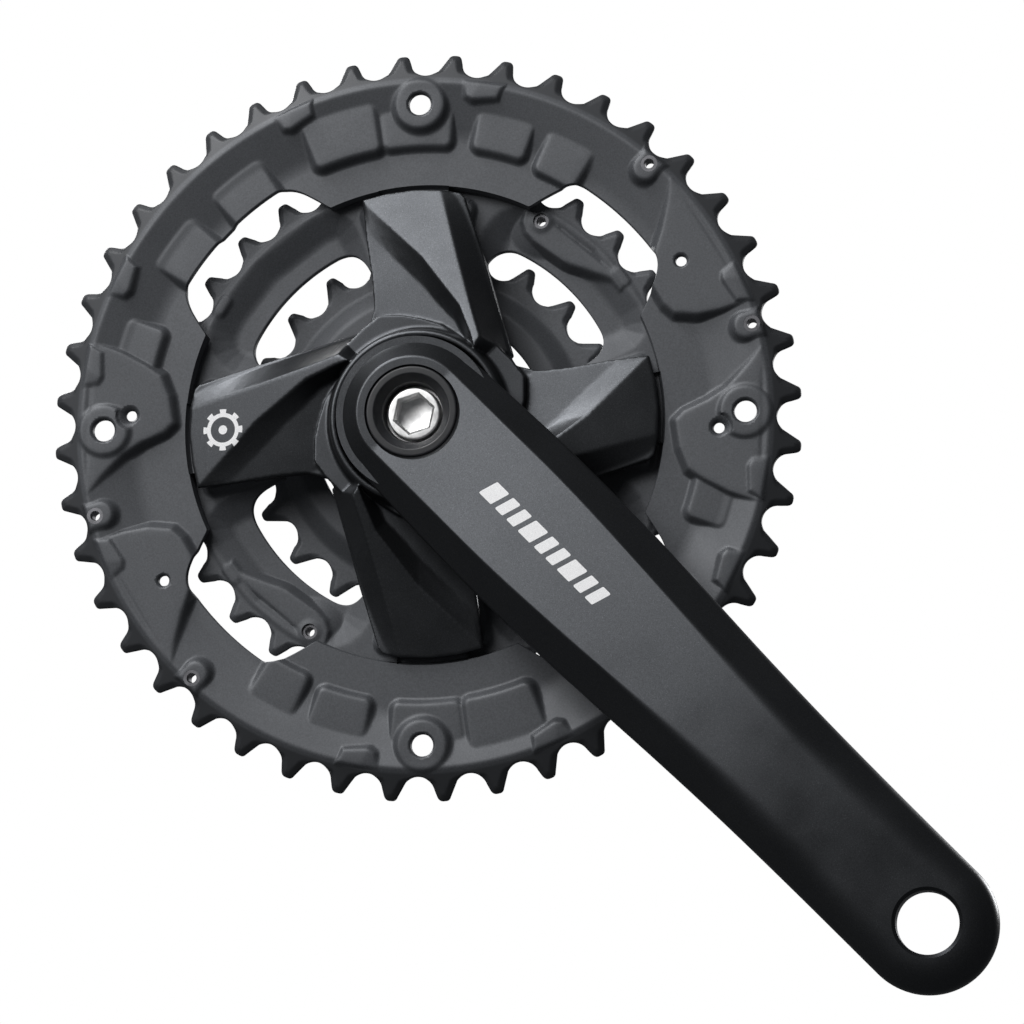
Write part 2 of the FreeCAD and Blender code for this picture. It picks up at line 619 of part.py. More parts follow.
def spider():
    """Four swept arms round a cupped hub."""
    thin = []
    thick = []
    for k in range(4):
        thin.append(spun(prism(arm_outline(), SPIDER_FLOOR_Y, SHELF_Y), 90 * k))
        inner = prism(arm_outline(), SHELF_Y - 0.2, LAND_Y).common(bore(TAB_INNER_R - 0.1))
        thick.append(spun(inner, 90 * k))
    disc = drum(SPIDER_DISC_R, SPIDER_FLOOR_Y, LAND_Y)
    boss_back = drum(23.4, LAND_Y - 0.2, SPIDER_BACK_Y)
    lip = turned([(16.0, SPIDER_FLOOR_Y + 0.5), (16.0, SPIDER_LIP_Y), (SPIDER_LIP_R - 0.5, SPIDER_LIP_Y),
                  (SPIDER_LIP_R, SPIDER_LIP_Y + 0.5), (SPIDER_LIP_R + 1.0, SPIDER_COLLAR_Y),
                  (SPIDER_LIP_R + 1.0, SPIDER_FLOOR_Y + 0.5)])
    blades = [spun(arm_blade(), 90 * k) for k in range(4)]
    floors = [spun(arm_pocket(), 90 * k) for k in range(4)]
    collars = [spun(arm_collar(), 90 * k) for k in range(4)]
    body = fused(disc, thin + thick + [boss_back, lip] + floors + blades + collars)
    cutters = [bore(SPIDER_BORE_R), drum(SPIDER_CUP_R, CLEAR_FRONT, HUB_SHOULDER_Y)]
    for k in range(4):
        for r, deg, tip_y in ((OUTER_RIVET_R, ARM_MID_DEG, OUTER_RIVET_TIP_Y),
                              (MIDDLE_RIVET_R, MIDDLE_RIVET_DEG, INNER_RIVET_TIP_Y),
                              (SMALL_RIVET_R, SMALL_RIVET_DEG, INNER_RIVET_TIP_Y)):
            cutters.append(drum(RIVET_R, tip_y, CLEAR_BACK, polar(r, deg + 90 * k)))
    return body.cut(cutters)


def spider_snap_ring():
    """A split spring ring that keeps the spider on the hub from behind."""
    ring = tube(SNAP_GROOVE_R, SNAP_RING_R, SPIDER_BACK_Y, SPIDER_BACK_Y + SNAP_T)
    gap = prism([(0, -SNAP_GAP_HALF), (30, -SNAP_GAP_HALF), (30, SNAP_GAP_HALF),
                 (0, SNAP_GAP_HALF)], CLEAR_FRONT, CLEAR_BACK)
    return ring.cut(spun(gap, CRANK_DEG + 180))


# ---- crank arm -------------------------------------------------------------

def crank_section(u, face_half, full_half, face_y, bevel, back_y):
    """One cross-section of the arm at a distance from the spindle."""
    edge = min(BACK_EDGE, (back_y - face_y - bevel) / 3.0)
    pts = [(-face_half, face_y), (face_half, face_y), (full_half, face_y + bevel),
           (full_half, back_y - edge), (full_half - edge, back_y), (-full_half + edge, back_y),
           (-full_half, back_y - edge), (-full_half, face_y + bevel)]
    return loop([FreeCAD.Vector(u, y, w) for w, y in pts])


def crank_beam():
    """The arm between hub and pedal eye, rising outboard as it goes."""
    rows = [(0.0, 13.2, 18.7, -15.6, 5.2, -9.2), (18.0, 13.2, 19.4, -17.6, 6.2, -9.2),
            (40.0, 13.1, 19.8, -20.3, 6.7, -9.3), (60.0, 12.2, 19.4, -22.8, 7.0, -9.8),
            (80.0, 11.0, 18.5, -25.3, 7.2, -11.2), (100.0, 10.0, 17.4, -27.7, 7.0, -13.4),
            (120.0, 9.5, 16.6, -29.6, 6.6, -15.8), (140.0, 9.9, 16.2, -30.6, 5.8, -17.4),
            (158.0, 10.6, 16.05, -31.0, 5.0, -18.0), (170.0, 11.0, 16.0, -31.0, 4.6, -18.0)]
    return Part.makeLoft([crank_section(*row) for row in rows], True, True)


def crank_arm():
    """Hub, arm and pedal eye, with the spindle socket and bolt recess cut in."""
    hub = turned([(0, HUB_FACE_Y), (HUB_FLAT_R, HUB_FACE_Y), (HUB_R, HUB_BEVEL_Y),
                  (HUB_R, HUB_SHOULDER_Y), (SPIDER_BORE_R, HUB_SHOULDER_Y),
                  (SPIDER_BORE_R, HUB_BACK_Y - 1.0), (SPIDER_BORE_R - 1.0, HUB_BACK_Y),
                  (0, HUB_BACK_Y)])
    eye = turned([(0, EYE_FACE_Y), (11.0, EYE_FACE_Y), (14.2, EYE_FACE_Y + 2.0),
                  (EYE_R, EYE_FACE_Y + 4.8), (EYE_R, EYE_BACK_Y - BACK_EDGE),
                  (EYE_R - BACK_EDGE, EYE_BACK_Y), (0, EYE_BACK_Y)])
    eye.translate(FreeCAD.Vector(CRANK_LENGTH, 0, 0))
    body = fused(crank_beam(), [hub, eye])
    socket_len = HUB_BACK_Y - SEAT_Y
    big = SOCKET_SMALL_HALF + socket_len * math.tan(math.radians(TAPER_DEG))
    squares = []
    for half, y in ((SOCKET_SMALL_HALF, SEAT_Y), (big, HUB_BACK_Y)):
        squares.append(loop([at(-half, -half, y), at(half, -half, y), at(half, half, y),
                             at(-half, half, y)]))
    socket = Part.makeLoft(squares, True, True)
    recess = drum(CAP_THREAD_R, CLEAR_FRONT, CAP_BACK_Y)
    well = drum(WELL_R, CLEAR_FRONT, SEAT_Y)
    pedal_axis = FreeCAD.Vector(CRANK_LENGTH, 0, 0)
    pedal_hole = bore(PEDAL_HOLE_R, pedal_axis)
    sink_at = FreeCAD.Vector(CRANK_LENGTH, EYE_FACE_Y, 0)
    sink = Part.makeCone(PEDAL_HOLE_R + PEDAL_SINK, PEDAL_HOLE_R, PEDAL_SINK, sink_at, SPIN)
    groove = tube(SNAP_GROOVE_R, SNAP_RING_R, SPIDER_BACK_Y, SPIDER_BACK_Y + SNAP_T)
    body = body.cut([socket, recess, well, pedal_hole, sink, groove])
    return spun(body, CRANK_DEG)


# ---- bolt group ------------------------------------------------------------

def retaining_cap():
    """The threaded ring that holds the bolt in and gives it something to push on."""
    return turned([(9.1, CAP_FACE_Y), (CAP_THREAD_R - 0.5, CAP_FACE_Y),
                   (CAP_THREAD_R, CAP_FACE_Y + 0.5), (CAP_THREAD_R, CAP_BACK_Y),
                   (CAP_OPEN_R, CAP_BACK_Y), (CAP_OPEN_R, CAP_BACK_Y - 1.6), (7.4, -13.2)])


def slip_washer():
    """A thin plastic washer under the cap that the bolt turns against."""
    return tube(SLIP_IN_R, SLIP_OUT_R, CAP_BACK_Y, CAP_BACK_Y + SLIP_T)


def hex_points(half):
    """Corners of a hexagon with flats this far from the centre."""
    r = half / math.cos(math.radians(30))
    return [(r * math.cos(math.radians(60 * k)), r * math.sin(math.radians(60 * k))) for k in range(6)]


def crank_bolt():
    """The crank bolt: round flanged head with a hexagon socket."""
    body = turned([(0, BOLT_HEAD_Y), (BOLT_HEAD_R - 0.7, BOLT_HEAD_Y), (BOLT_HEAD_R, BOLT_HEAD_Y + 0.7),
                   (BOLT_HEAD_R, BOLT_FLANGE_Y), (BOLT_FLANGE_R, BOLT_FLANGE_Y),
                   (BOLT_FLANGE_R, BOLT_SEAT_Y), (BOLT_SHANK_R, BOLT_SEAT_Y),
                   (BOLT_SHANK_R, BOLT_END_Y - 1.0),
                   (BOLT_SHANK_R - 1.0, BOLT_END_Y), (0, BOLT_END_Y)])
    socket = prism(hex_points(HEX_HALF), CLEAR_FRONT, HEX_FLOOR_Y)
    lead = Part.makeCone(5.1, 4.4, 0.7, FreeCAD.Vector(0, BOLT_HEAD_Y, 0), SPIN)
    return body.cut([spun(socket, HEX_TURN_DEG), lead])


def bolt_washer():
    """The steel washer under the bolt's flange."""
    return tube(WASHER_BORE_R, WASHER_R, WASHER_FRONT_Y, WASHER_BACK_Y)


def export(name, shape):
    """Write one part and report its state."""
    good = all(s.isValid() and s.isClosed() for s in shape.Solids)
    print(name, "solids", len(shape.Solids), "valid", good, "volume", round(shape.Volume, 1))
    shape.exportStep("parts/" + name + ".step")


os.makedirs("parts", exist_ok=True)
for make in (crank_arm, spider, spider_snap_ring, large_chainring, middle_chainring,
             small_chainring, large_ring_rivets, middle_ring_rivets, small_ring_rivets,
             small_ring_spacers, large_ring_shift_pins, middle_ring_shift_pins, chain_drop_pin,
             retaining_cap, slip_washer, crank_bolt, bolt_washer):
    export(make.__name__, make())
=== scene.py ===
import json
import math

import bmesh
import bpy
import numpy as np
from mathutils import Matrix, Vector
from mathutils.bvhtree import BVHTree


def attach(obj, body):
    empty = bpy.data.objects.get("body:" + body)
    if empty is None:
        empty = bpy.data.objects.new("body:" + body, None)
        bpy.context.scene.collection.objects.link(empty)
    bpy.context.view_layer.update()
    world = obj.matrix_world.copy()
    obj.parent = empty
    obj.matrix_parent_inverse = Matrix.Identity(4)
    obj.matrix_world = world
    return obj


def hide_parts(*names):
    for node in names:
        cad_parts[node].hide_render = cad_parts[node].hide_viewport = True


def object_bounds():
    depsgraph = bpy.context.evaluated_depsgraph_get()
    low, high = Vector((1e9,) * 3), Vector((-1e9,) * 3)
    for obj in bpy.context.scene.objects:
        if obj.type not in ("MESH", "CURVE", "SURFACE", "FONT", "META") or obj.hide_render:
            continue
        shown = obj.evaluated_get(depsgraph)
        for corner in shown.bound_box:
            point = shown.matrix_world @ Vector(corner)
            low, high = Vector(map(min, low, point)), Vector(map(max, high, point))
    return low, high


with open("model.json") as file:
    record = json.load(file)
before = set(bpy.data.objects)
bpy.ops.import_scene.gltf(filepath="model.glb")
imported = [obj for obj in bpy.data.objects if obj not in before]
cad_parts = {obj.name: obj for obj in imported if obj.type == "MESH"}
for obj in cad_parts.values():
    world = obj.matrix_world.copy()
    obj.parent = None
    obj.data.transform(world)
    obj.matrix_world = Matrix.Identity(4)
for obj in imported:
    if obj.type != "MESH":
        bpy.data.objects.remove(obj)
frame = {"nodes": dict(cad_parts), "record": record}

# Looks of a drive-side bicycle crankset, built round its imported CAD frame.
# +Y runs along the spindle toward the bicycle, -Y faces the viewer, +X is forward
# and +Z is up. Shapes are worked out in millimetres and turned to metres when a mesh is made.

cad_low, cad_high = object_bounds()

MM = 0.001
FULL = 360.0
FRAME_BODY = "crankset"

# ---- driving dimensions, taken from the frame ----
MOUNTS = {m["name"]: m for m in frame["record"]["mounts"]}


def cad_rings(node):
    """Smallest and largest radius, and lowest and highest depth, of a CAD node in mm."""
    points = np.array([v.co for v in frame["nodes"][node].data.vertices]) / MM
    radii = np.hypot(points[:, 0], points[:, 2])
    return radii.min(), radii.max(), points[:, 1].min(), points[:, 1].max()


PEDAL = Vector(MOUNTS["pedal_thread"]["pos_m"]) / MM
CRANK_LENGTH = math.hypot(PEDAL.x, PEDAL.z)
CRANK_DEG = math.degrees(math.atan2(PEDAL.z, PEDAL.x))
PEDAL_HOLE_R = MOUNTS["pedal_thread"]["dims"]["r_mm"]
GUARD_R = MOUNTS["guard_holes"]["dims"]["pcd_mm"] / 2.0
GUARD_HOLE_R = MOUNTS["guard_holes"]["dims"]["hole_r_mm"]
LARGE_TIP_R = cad_rings("large_chainring")[1]
MIDDLE_TIP_R = cad_rings("middle_chainring")[1]
SMALL_TIP_R, SMALL_BACK_Y = cad_rings("small_chainring")[1::2]
CAP_R, CAP_FACE_Y, CAP_BACK_Y = cad_rings("retaining_cap")[1:]
BOLT_FLANGE_R, BOLT_HEAD_Y, BOLT_END_Y = cad_rings("crank_bolt")[1:]
DROP_PIN_FACE_Y, DROP_PIN_END_Y = cad_rings("chain_drop_pin")[2:]
HUB_BACK_Y = cad_rings("crank_arm")[3]

# ---- chain and teeth ----
PITCH = 12.7
ROLLER_R = 3.95
CREST_CORNER = 1.3
CREST_DROP = 1.0
LARGE_TEETH = 44
MIDDLE_TEETH = 32
SMALL_TEETH = 22
LARGE_VALLEY_DEG = 0.0
MIDDLE_VALLEY_DEG = 5.4
SMALL_VALLEY_DEG = 1.7
# how far each roller seat runs clockwise and counter-clockwise of its lowest point
LARGE_SEAT_DEGS = (48.0, 78.0)
MIDDLE_SEAT_DEGS = (70.0, 70.0)
SMALL_SEAT_DEGS = (40.0, 78.0)
# where each tooth's crest starts and stops, measured from the middle of the pitch
LARGE_CREST = (-0.70, 0.02)
MIDDLE_CREST = (-0.30, 0.30)
SMALL_CREST = (-0.40, 0.05)
PLATE_T = 2.0
EDGE_R = 0.35
BEVEL_WIDTH = 1.4
FRONT_BEVEL = 0.85
BACK_BEVEL = 0.45
FLANK_START = 0.5
FLANK_FULL = 1.5
SAMPLE_MM = 0.40
SMALL_SAMPLE_MM = 0.45

# ---- large ring ----
LARGE_Y = -1.0
RIDGE_R = 83.2
RIDGE_Y = -1.5
SHELF_R = 70.5
SHELF_Y = 1.8
LARGE_INNER_R = 57.8
PAD_Y = 0.1
HIGH_PAD_Y = -0.6
GUARD_DEG = 0.9
TAB_INNER_R = 43.6
TAB_Y = 2.2
JOGGLE = 1.1
ARM_MID_DEG = 93.0
TAB_HALF_DEG = 8.5
SHIFT_PIN_AT_R = 82.3
SHIFT_PIN_R = 2.0
SHIFT_PIN_DEGS = (15.6, 48.4)
TOOLING_HOLE_R = 1.3
RAMP_A_HOLE = (31.3, 72.9)
RAMP_B_HOLE = (-2.0, 71.4)
BITE_R = 3.1
GUARD_TOP_R = 6.0
GUARD_TOP_Y = -1.9
DROP_PIN_AT_R = 77.5

# ---- middle and small rings ----
MIDDLE_Y = 6.1
LAND_Y = 3.8
LAND_R = 55.4
LAND_INNER_R = 36.5
DISH_Y = 9.0
MIDDLE_WINDOW_R = 47.8
MIDDLE_PIN = (60.9, 56.9)
MIDDLE_PIN_R = 1.9
SMALL_Y = SMALL_BACK_Y - PLATE_T
CONE_OUT_R = 37.8
CONE_IN_R = 33.5
SMALL_PLATE_Y = 12.0
SMALL_BORE_R = 28.4
SMALL_EAR_R = 5.0

# ---- rivets ----
RIVET_R = 2.5
OUTER_RIVET_R = 50.0
MIDDLE_RIVET_R = 39.8
MIDDLE_RIVET_DEG = 88.0
SMALL_RIVET_R = 29.3
SMALL_RIVET_DEG = 84.5


# ==== Mesh helpers ====

def placed(name, data):
    """An object in the scene that holds a mesh, a lamp or a lens."""
    made = bpy.data.objects.new(name, data)
    bpy.context.scene.collection.objects.link(made)
    return made


def new_object(name, points_mm, faces):
    """A mesh object from millimetre points and a list or array of faces."""
    mesh = bpy.data.meshes.new(name)
    points = (np.asarray(points_mm, float) * MM).tolist()
    if isinstance(faces, np.ndarray):
        faces = faces.tolist()
    mesh.from_pydata(points, [], faces)
    mesh.update()
    return placed(name, mesh)


def loop_faces(n, m, closed=False):
    """Quads between n stations in a closed loop of m points each, themselves a loop if closed."""
    i, j = np.meshgrid(np.arange(n), np.arange(m if closed else m - 1), indexing="ij")
    i2 = (i + 1) % n
    j2 = (j + 1) % m
    return np.stack([i * m + j, i * m + j2, i2 * m + j2, i2 * m + j], -1).reshape(-1, 4)


def shade(piece, sharp_deg=38.0):
    """Smooth shading that keeps real corners crisp."""
    piece.data.shade_smooth()
    piece.data.set_sharp_from_angle(angle=math.radians(sharp_deg))
    even = piece.modifiers.new("even_shading", "WEIGHTED_NORMAL")
    even.mode = "FACE_AREA"
    even.keep_sharp = True


def weld(piece, gap_mm=0.002):
    """Joins points that fall together and turns every face outward."""
    work = bmesh.new()
    work.from_mesh(piece.data)
    bmesh.ops.remove_doubles(work, verts=work.verts, dist=gap_mm * MM)
    bmesh.ops.dissolve_degenerate(work, edges=work.edges, dist=gap_mm * MM * 0.1)
    bmesh.ops.recalc_face_normals(work, faces=work.faces)
    work.to_mesh(piece.data)
    work.free()


def settle(piece):
    """Bakes the modifiers of a built piece into its own mesh."""
    bpy.context.view_layer.update()
    graph = bpy.context.evaluated_depsgraph_get()
    mesh = bpy.data.meshes.new_from_object(piece.evaluated_get(graph))
    piece.modifiers.clear()
    old = piece.data
    piece.data = mesh
    bpy.data.meshes.remove(old)


def joined(pieces):
    """One object holding the meshes of several."""
    work = bmesh.new()
    for piece in pieces:
        work.from_mesh(piece.data)
    work.to_mesh(pieces[0].data)
    work.free()
    for piece in pieces[1:]:
        bpy.data.objects.remove(piece)
    return pieces[0]


def carve(piece, tools, operation="DIFFERENCE"):
    """Cuts away, or adds, closed tool shapes that don't touch one another."""
    tool = joined(tools)
    change = piece.modifiers.new("carve", "BOOLEAN")
    change.operation = operation
    change.solver = "MANIFOLD"
    change.object = tool
    settle(piece)
    bpy.data.objects.remove(tool)


def rounded(corners, radius, steps=5):
    """A closed outline whose corners are rounded; radius is one value or one per corner."""
    count = len(corners)
    radii = [radius] * count if isinstance(radius, (int, float)) else radius
    out = []
    for k in range(count):
        here = Vector(corners[k])
        back = Vector(corners[k - 1]) - here
        ahead = Vector(corners[(k + 1) % count]) - here
        if radii[k] <= 0 or back.length < 1e-6 or ahead.length < 1e-6:
            out.append(tuple(here))
            continue
        half = back.angle(ahead) / 2.0
        reach = min(radii[k] / math.tan(half), back.length * 0.45, ahead.length * 0.45)
        start = here + back.normalized() * reach
        end = here + ahead.normalized() * reach
        for i in range(steps + 1):
            t = i / steps
            out.append(tuple(start * (1 - t) ** 2 + here * 2 * t * (1 - t) + end * t ** 2))
    return out


def lathe(name, outline, x=0.0, z=0.0, segments=96):
    """A closed (radius, depth) outline spun round an axis parallel to the spindle."""
    ring = np.array(outline, float)
    turn = np.radians(np.arange(segments) * FULL / segments)
    across = x + ring[:, 0][:, None] * np.cos(turn)
    up = z + ring[:, 0][:, None] * np.sin(turn)
    deep = np.repeat(ring[:, 1][:, None], segments, axis=1)
    points = np.stack([across, deep, up], axis=-1).reshape(-1, 3)
    piece = new_object(name, points, loop_faces(len(ring), segments, closed=True))
    weld(piece)
    return piece


def place(deg, r):
    """The x and z of a point on a circle about the spindle."""
    return r * math.cos(math.radians(deg)), r * math.sin(math.radians(deg))


def drill(deg, r, hole_r, top_y, lip=0.35, depth=25.0, spin=48):
    """A round cutter with a countersunk lip that starts at the surface."""
    x, z = place(deg, r)
    flare = 2.0
    outline = [(0.0, top_y - flare), (hole_r + lip + flare, top_y - flare),
               (hole_r, top_y + lip), (hole_r, depth), (0.0, depth)]
    return lathe("drill", outline, x, z, spin)


# ==== Height maths ====

def wrap(deg, period):
    """Angles folded to the nearest repeat."""
    return (deg + period / 2.0) % period - period / 2.0


def soft_min(a, b, width):
    """The nearer of two surfaces, blended where they meet."""
    h = np.clip(0.5 + 0.5 * (b - a) / width, 0.0, 1.0)
    return b * (1 - h) + a * h - width * h * (1 - h)


def soft_max(a, b, width):
    """The farther of two surfaces, blended where they meet."""
    return -soft_min(-a, -b, width)


def smooth_step(low, high, value):
    """A smooth rise from 0 to 1."""
    t = np.clip((value - low) / (high - low), 0.0, 1.0)
    return t * t * (3 - 2 * t)


def wall(distance, steepness, ease=0.3):
    """Rises outside an outline with a rounded foot."""
    return steepness * (distance + np.sqrt(distance ** 2 + ease ** 2)) / 2.0


def raised(y, distance, top, steepness, blend):
    """A flat-topped form standing out of a surface toward the viewer."""
    return soft_min(y, top + wall(distance, steepness), blend)


def sector_distance(r, deg, r0, r1, a0, a1, corner, period=180.0):
    """Distance in the plane from a patch between two radii and two angles."""
    along = np.radians(wrap(deg - (a0 + a1) / 2.0, period)) * r
    half_along = math.radians((a1 - a0) / 2.0) * r
    q1 = np.abs(along) - half_along + corner
    q2 = np.abs(r - (r0 + r1) / 2.0) - (r1 - r0) / 2.0 + corner
    outside = np.hypot(np.maximum(q1, 0), np.maximum(q2, 0))
    return outside + np.minimum(np.maximum(q1, q2), 0) - corner


def segment_gap(x, z, ax, az, bx, bz):
    """Squared distance in the plane from a straight segment."""
    ex, ez = bx - ax, bz - az
    wx, wz = x - ax, z - az
    t = np.clip((wx * ex + wz * ez) / (ex * ex + ez * ez), 0.0, 1.0)
    return (wx - ex * t) ** 2 + (wz - ez * t) ** 2


def polygon_distance(r, deg, corners, corner, middle, period=180.0):
    """Distance in the plane from a polygon given as (degrees, radius) corners."""
    folded = np.radians(wrap(deg - middle, period) + middle)
    x = r * np.cos(folded)
    z = r * np.sin(folded)
    flat = [place(a, rr) for a, rr in corners]
    best = np.full(r.shape, 1e9)
    side = np.ones(r.shape)
    for (ax, az), (bx, bz) in zip(flat, flat[-1:] + flat[:-1]):
        best = np.minimum(best, segment_gap(x, z, ax, az, bx, bz))
        above = z >= az
        below = z < bz
        left = (bx - ax) * (z - az) > (bz - az) * (x - ax)
        flip = (above & below & left) | (~above & ~below & ~left)
        side = np.where(flip, -side, side)
    return side * np.sqrt(best) - corner


def round_distance(r, deg, at_deg, at_r, radius, period):
    """Distance in the plane from a disc on a circle about the spindle."""
    gap = np.radians(wrap(deg - at_deg, period))
    return np.sqrt(r ** 2 + at_r ** 2 - 2 * r * at_r * np.cos(gap)) - radius


# ==== Toothed rings ====

def tooth_edge(teeth, tip_r, seat_degs, crest):
    """Angles and radii of one tooth space, from crest to crest about its valley."""
    half = FULL / teeth / 2.0
    pitch_r = PITCH / (2.0 * math.sin(math.radians(half)))
    per_mm = math.degrees(1.0 / tip_r)

    def spot(deg, r):
        return Vector((r * math.sin(math.radians(deg)), r * math.cos(math.radians(deg))))

    def shoulder(side, edge):
        inward = -side * CREST_CORNER
        flat = spot(side * half + edge * per_mm, tip_r)
        bend = spot(side * half + (edge + inward * 0.7) * per_mm, tip_r)
        foot = spot(side * half + (edge + inward) * per_mm, tip_r - CREST_DROP)
        steps = (0.0, 0.25, 0.5, 0.75, 1.0)
        return [flat * (1 - t) ** 2 + bend * 2 * t * (1 - t) + foot * t ** 2 for t in steps]

    seat = []
    for swing in np.radians(np.linspace(-seat_degs[0], seat_degs[1], 15)):
        seat.append(Vector((ROLLER_R * math.sin(swing), pitch_r - ROLLER_R * math.cos(swing))))
    before = shoulder(-1, crest[1])
    after = shoulder(1, crest[0])[::-1]
    falling = [before[-1].lerp(seat[0], t) for t in (0.25, 0.5, 0.75)]
    rising = [seat[-1].lerp(after[0], t) for t in (0.3, 0.65)]
    crown = [after[-1].lerp(spot(half, tip_r), t) for t in (0.34, 0.67, 1.0)]
    points = np.array([spot(-half, tip_r)] + before + falling + seat + rising + after + crown)
    return np.degrees(np.arctan2(points[:, 0], points[:, 1])), np.hypot(points[:, 0], points[:, 1])


def ring_angles(teeth, valley_deg, edge, extra=()):
    """Every angle at which a ring is sampled, and its outer radius there."""
    angles, radii = edge
    step = FULL / teeth
    every = (valley_deg + np.arange(teeth)[:, None] * step + angles[None, :-1]).ravel()
    every = np.unique(np.round(np.concatenate([every, np.array(extra, float)]) % FULL, 4))
    return every, np.interp(wrap(every - valley_deg, step), angles, radii)


def outline_gap(rows, deg, teeth, valley_deg, edge):
    """Distance in the plane from the toothed outline, for places near it."""
    step = FULL / teeth
    folded = np.radians(wrap(deg - valley_deg, step))
    x = rows * np.cos(folded)
    z = rows * np.sin(folded)
    near = rows > edge[1].min() - 2.0 * BEVEL_WIDTH
    x = x[near]
    z = z[near]
    best = np.full(x.shape, 1e9)
    for k in (-1, 0, 1):
        turn = np.radians(edge[0] + k * step)
        ox = edge[1] * np.cos(turn)
        oz = edge[1] * np.sin(turn)
        for i in range(len(turn) - 1):
            if abs(edge[0][i] + k * step) < step:
                best = np.minimum(best, segment_gap(x, z, ox[i], oz[i], ox[i + 1], oz[i + 1]))
    gap = np.full(rows.shape, 2.0 * BEVEL_WIDTH)
    gap[near] = np.sqrt(best)
    return gap


def ring_rows(inner, outer, knots, pitch_mm):
    """Radii from the inner to the outer edge, crowded at both edges and kept on knots."""
    edge = np.array([0.0, 0.12, 0.4, 1.0]) * EDGE_R
    columns = [inner[:, None] + edge[None, :]]
    low = inner + EDGE_R
    for knot in list(knots) + [None]:
        high = outer - EDGE_R if knot is None else np.maximum(np.full_like(inner, knot), low + 0.02)
        span = float(np.max(high - low))
        count = max(2, int(round(span / pitch_mm)))
        t = np.linspace(0.0, 1.0, count + 1)[1:]
        columns.append(low[:, None] + (high - low)[:, None] * t[None, :])
        low = high
    columns.append(outer[:, None] - edge[::-1][None, 1:])
    return np.concatenate(columns, axis=1)


def edge_round(gap):
    """How far a face falls away beside a cut edge."""
    t = np.clip(1.0 - gap / EDGE_R, 0.0, 1.0)
    return EDGE_R * 0.8 * (1.0 - np.sqrt(1.0 - t * t * 0.98))


def ring_piece(name, teeth, valley_deg, edge, angles, inner, outer, knots, pitch_mm, face):
    """A closed toothed sheet whose front depth is a function of radius and angle."""
    rows = ring_rows(inner, outer, knots, pitch_mm)
    deg = np.repeat(angles[:, None], rows.shape[1], axis=1)
    front = face(rows, deg)
    gap = outline_gap(rows, deg, teeth, valley_deg, edge)
    root_r = edge[1].min()
    flank = smooth_step(root_r + FLANK_START, root_r + FLANK_FULL, rows)
    bevel = flank * np.clip(1.0 - gap / BEVEL_WIDTH, 0.0, 1.0)
    falling = edge_round(np.minimum(rows - inner[:, None], gap))
    top = front + FRONT_BEVEL * bevel + falling
    bottom = front + PLATE_T - BACK_BEVEL * bevel - falling
    x = rows * np.cos(np.radians(deg))
    z = rows * np.sin(np.radians(deg))
    points = np.concatenate([np.stack([x, top, z], -1).reshape(-1, 3),
                             np.stack([x, bottom, z], -1).reshape(-1, 3)])
    n, m = rows.shape
    quad = loop_faces(n, m)
    k = np.arange(n)
    k2 = (k + 1) % n
    under = n * m
    hole = np.stack([k * m, k2 * m, k2 * m + under, k * m + under], -1)
    rim = np.stack([k2 * m + m - 1, k * m + m - 1, k * m + m - 1 + under, k2 * m + m - 1 + under], -1)
    return new_object(name, points, np.concatenate([quad, quad[:, ::-1] + under, hole, rim]))


# ---- large ring ----

WIDE_WINDOW = (109.8, 120.0, 151.4, 161.0, 67.9, 4.2)
NARROW_WINDOW = (21.4, 33.5, 57.8, 68.0, 68.8, 3.4)
WINDOW_LOW_R = LARGE_INNER_R - 6.0


def window_edge(deg, low_a, top_a, top_b, low_b, top_r, soft):
    """Radius of a window's edge: an arched top between two leaning sides."""
    here = wrap(deg - (top_a + top_b) / 2.0, 180.0) + (top_a + top_b) / 2.0
    rise = (top_r - WINDOW_LOW_R) / (top_a - low_a)
    fall = (top_r - WINDOW_LOW_R) / (low_b - top_b)
    left = top_r + (here - top_a) * rise
    right = top_r + (top_b - here) * fall
    return soft_min(soft_min(left, right, 0.5), np.full_like(deg, top_r), soft)


def large_inner(deg):
    """Radius of the inner edge: windows, bore and the tabs under the spider's arms."""
    edge = np.full_like(deg, LARGE_INNER_R)
    edge = np.maximum(edge, window_edge(deg, *WIDE_WINDOW))
    edge = np.maximum(edge, window_edge(deg, *NARROW_WINDOW))
    on_tab = np.abs(wrap(deg - ARM_MID_DEG, 90.0)) <= TAB_HALF_DEG
    return np.where(on_tab, TAB_INNER_R, edge)


# radii, angles, depth of the top, steepness of the sides, added softness toward the outer edge
PADS = [(67.8, 79.6, 99.2, 112.8, HIGH_PAD_Y, 1.6, 0.0), (67.8, 76.9, 84.9, 98.4, PAD_Y, 1.4, 0.0),
        (67.8, 76.9, 69.6, 80.2, PAD_Y, 1.4, 0.0), (66.6, 76.9, 57.4, 66.6, PAD_Y, 1.6, 0.0),
        (66.0, 77.0, 138.6, 149.2, PAD_Y, 1.1, 0.6), (66.0, 77.0, 122.2, 133.0, PAD_Y, 1.1, 0.6),
        (67.6, 76.8, -20.0, -9.0, PAD_Y, 1.2, 0.6)]
PAD_CORNER = 1.5
PAD_BLEND = 0.28
RAMP_A = [(44.0, 83.2), (41.6, 79.4), (38.4, 74.0), (35.4, 69.0), (31.4, 64.4), (25.4, 64.6), (22.8, 66.0),
          (20.8, 71.0), (20.0, 77.0), (19.8, 83.2)]
RAMP_B = [(11.5, 83.2), (9.0, 79.4), (5.2, 73.6), (3.2, 69.0), (1.2, 63.2), (-0.6, 61.2), (-6.4, 62.6),
          (-10.6, 65.4), (-12.0, 69.4), (-13.4, 76.0), (-14.0, 83.2)]
RAMP_TILT = 0.05
RAMP_STEEP = 1.5
RIDGE_TABS = (23.1, 80.2, 113.0, 154.0, 170.0)
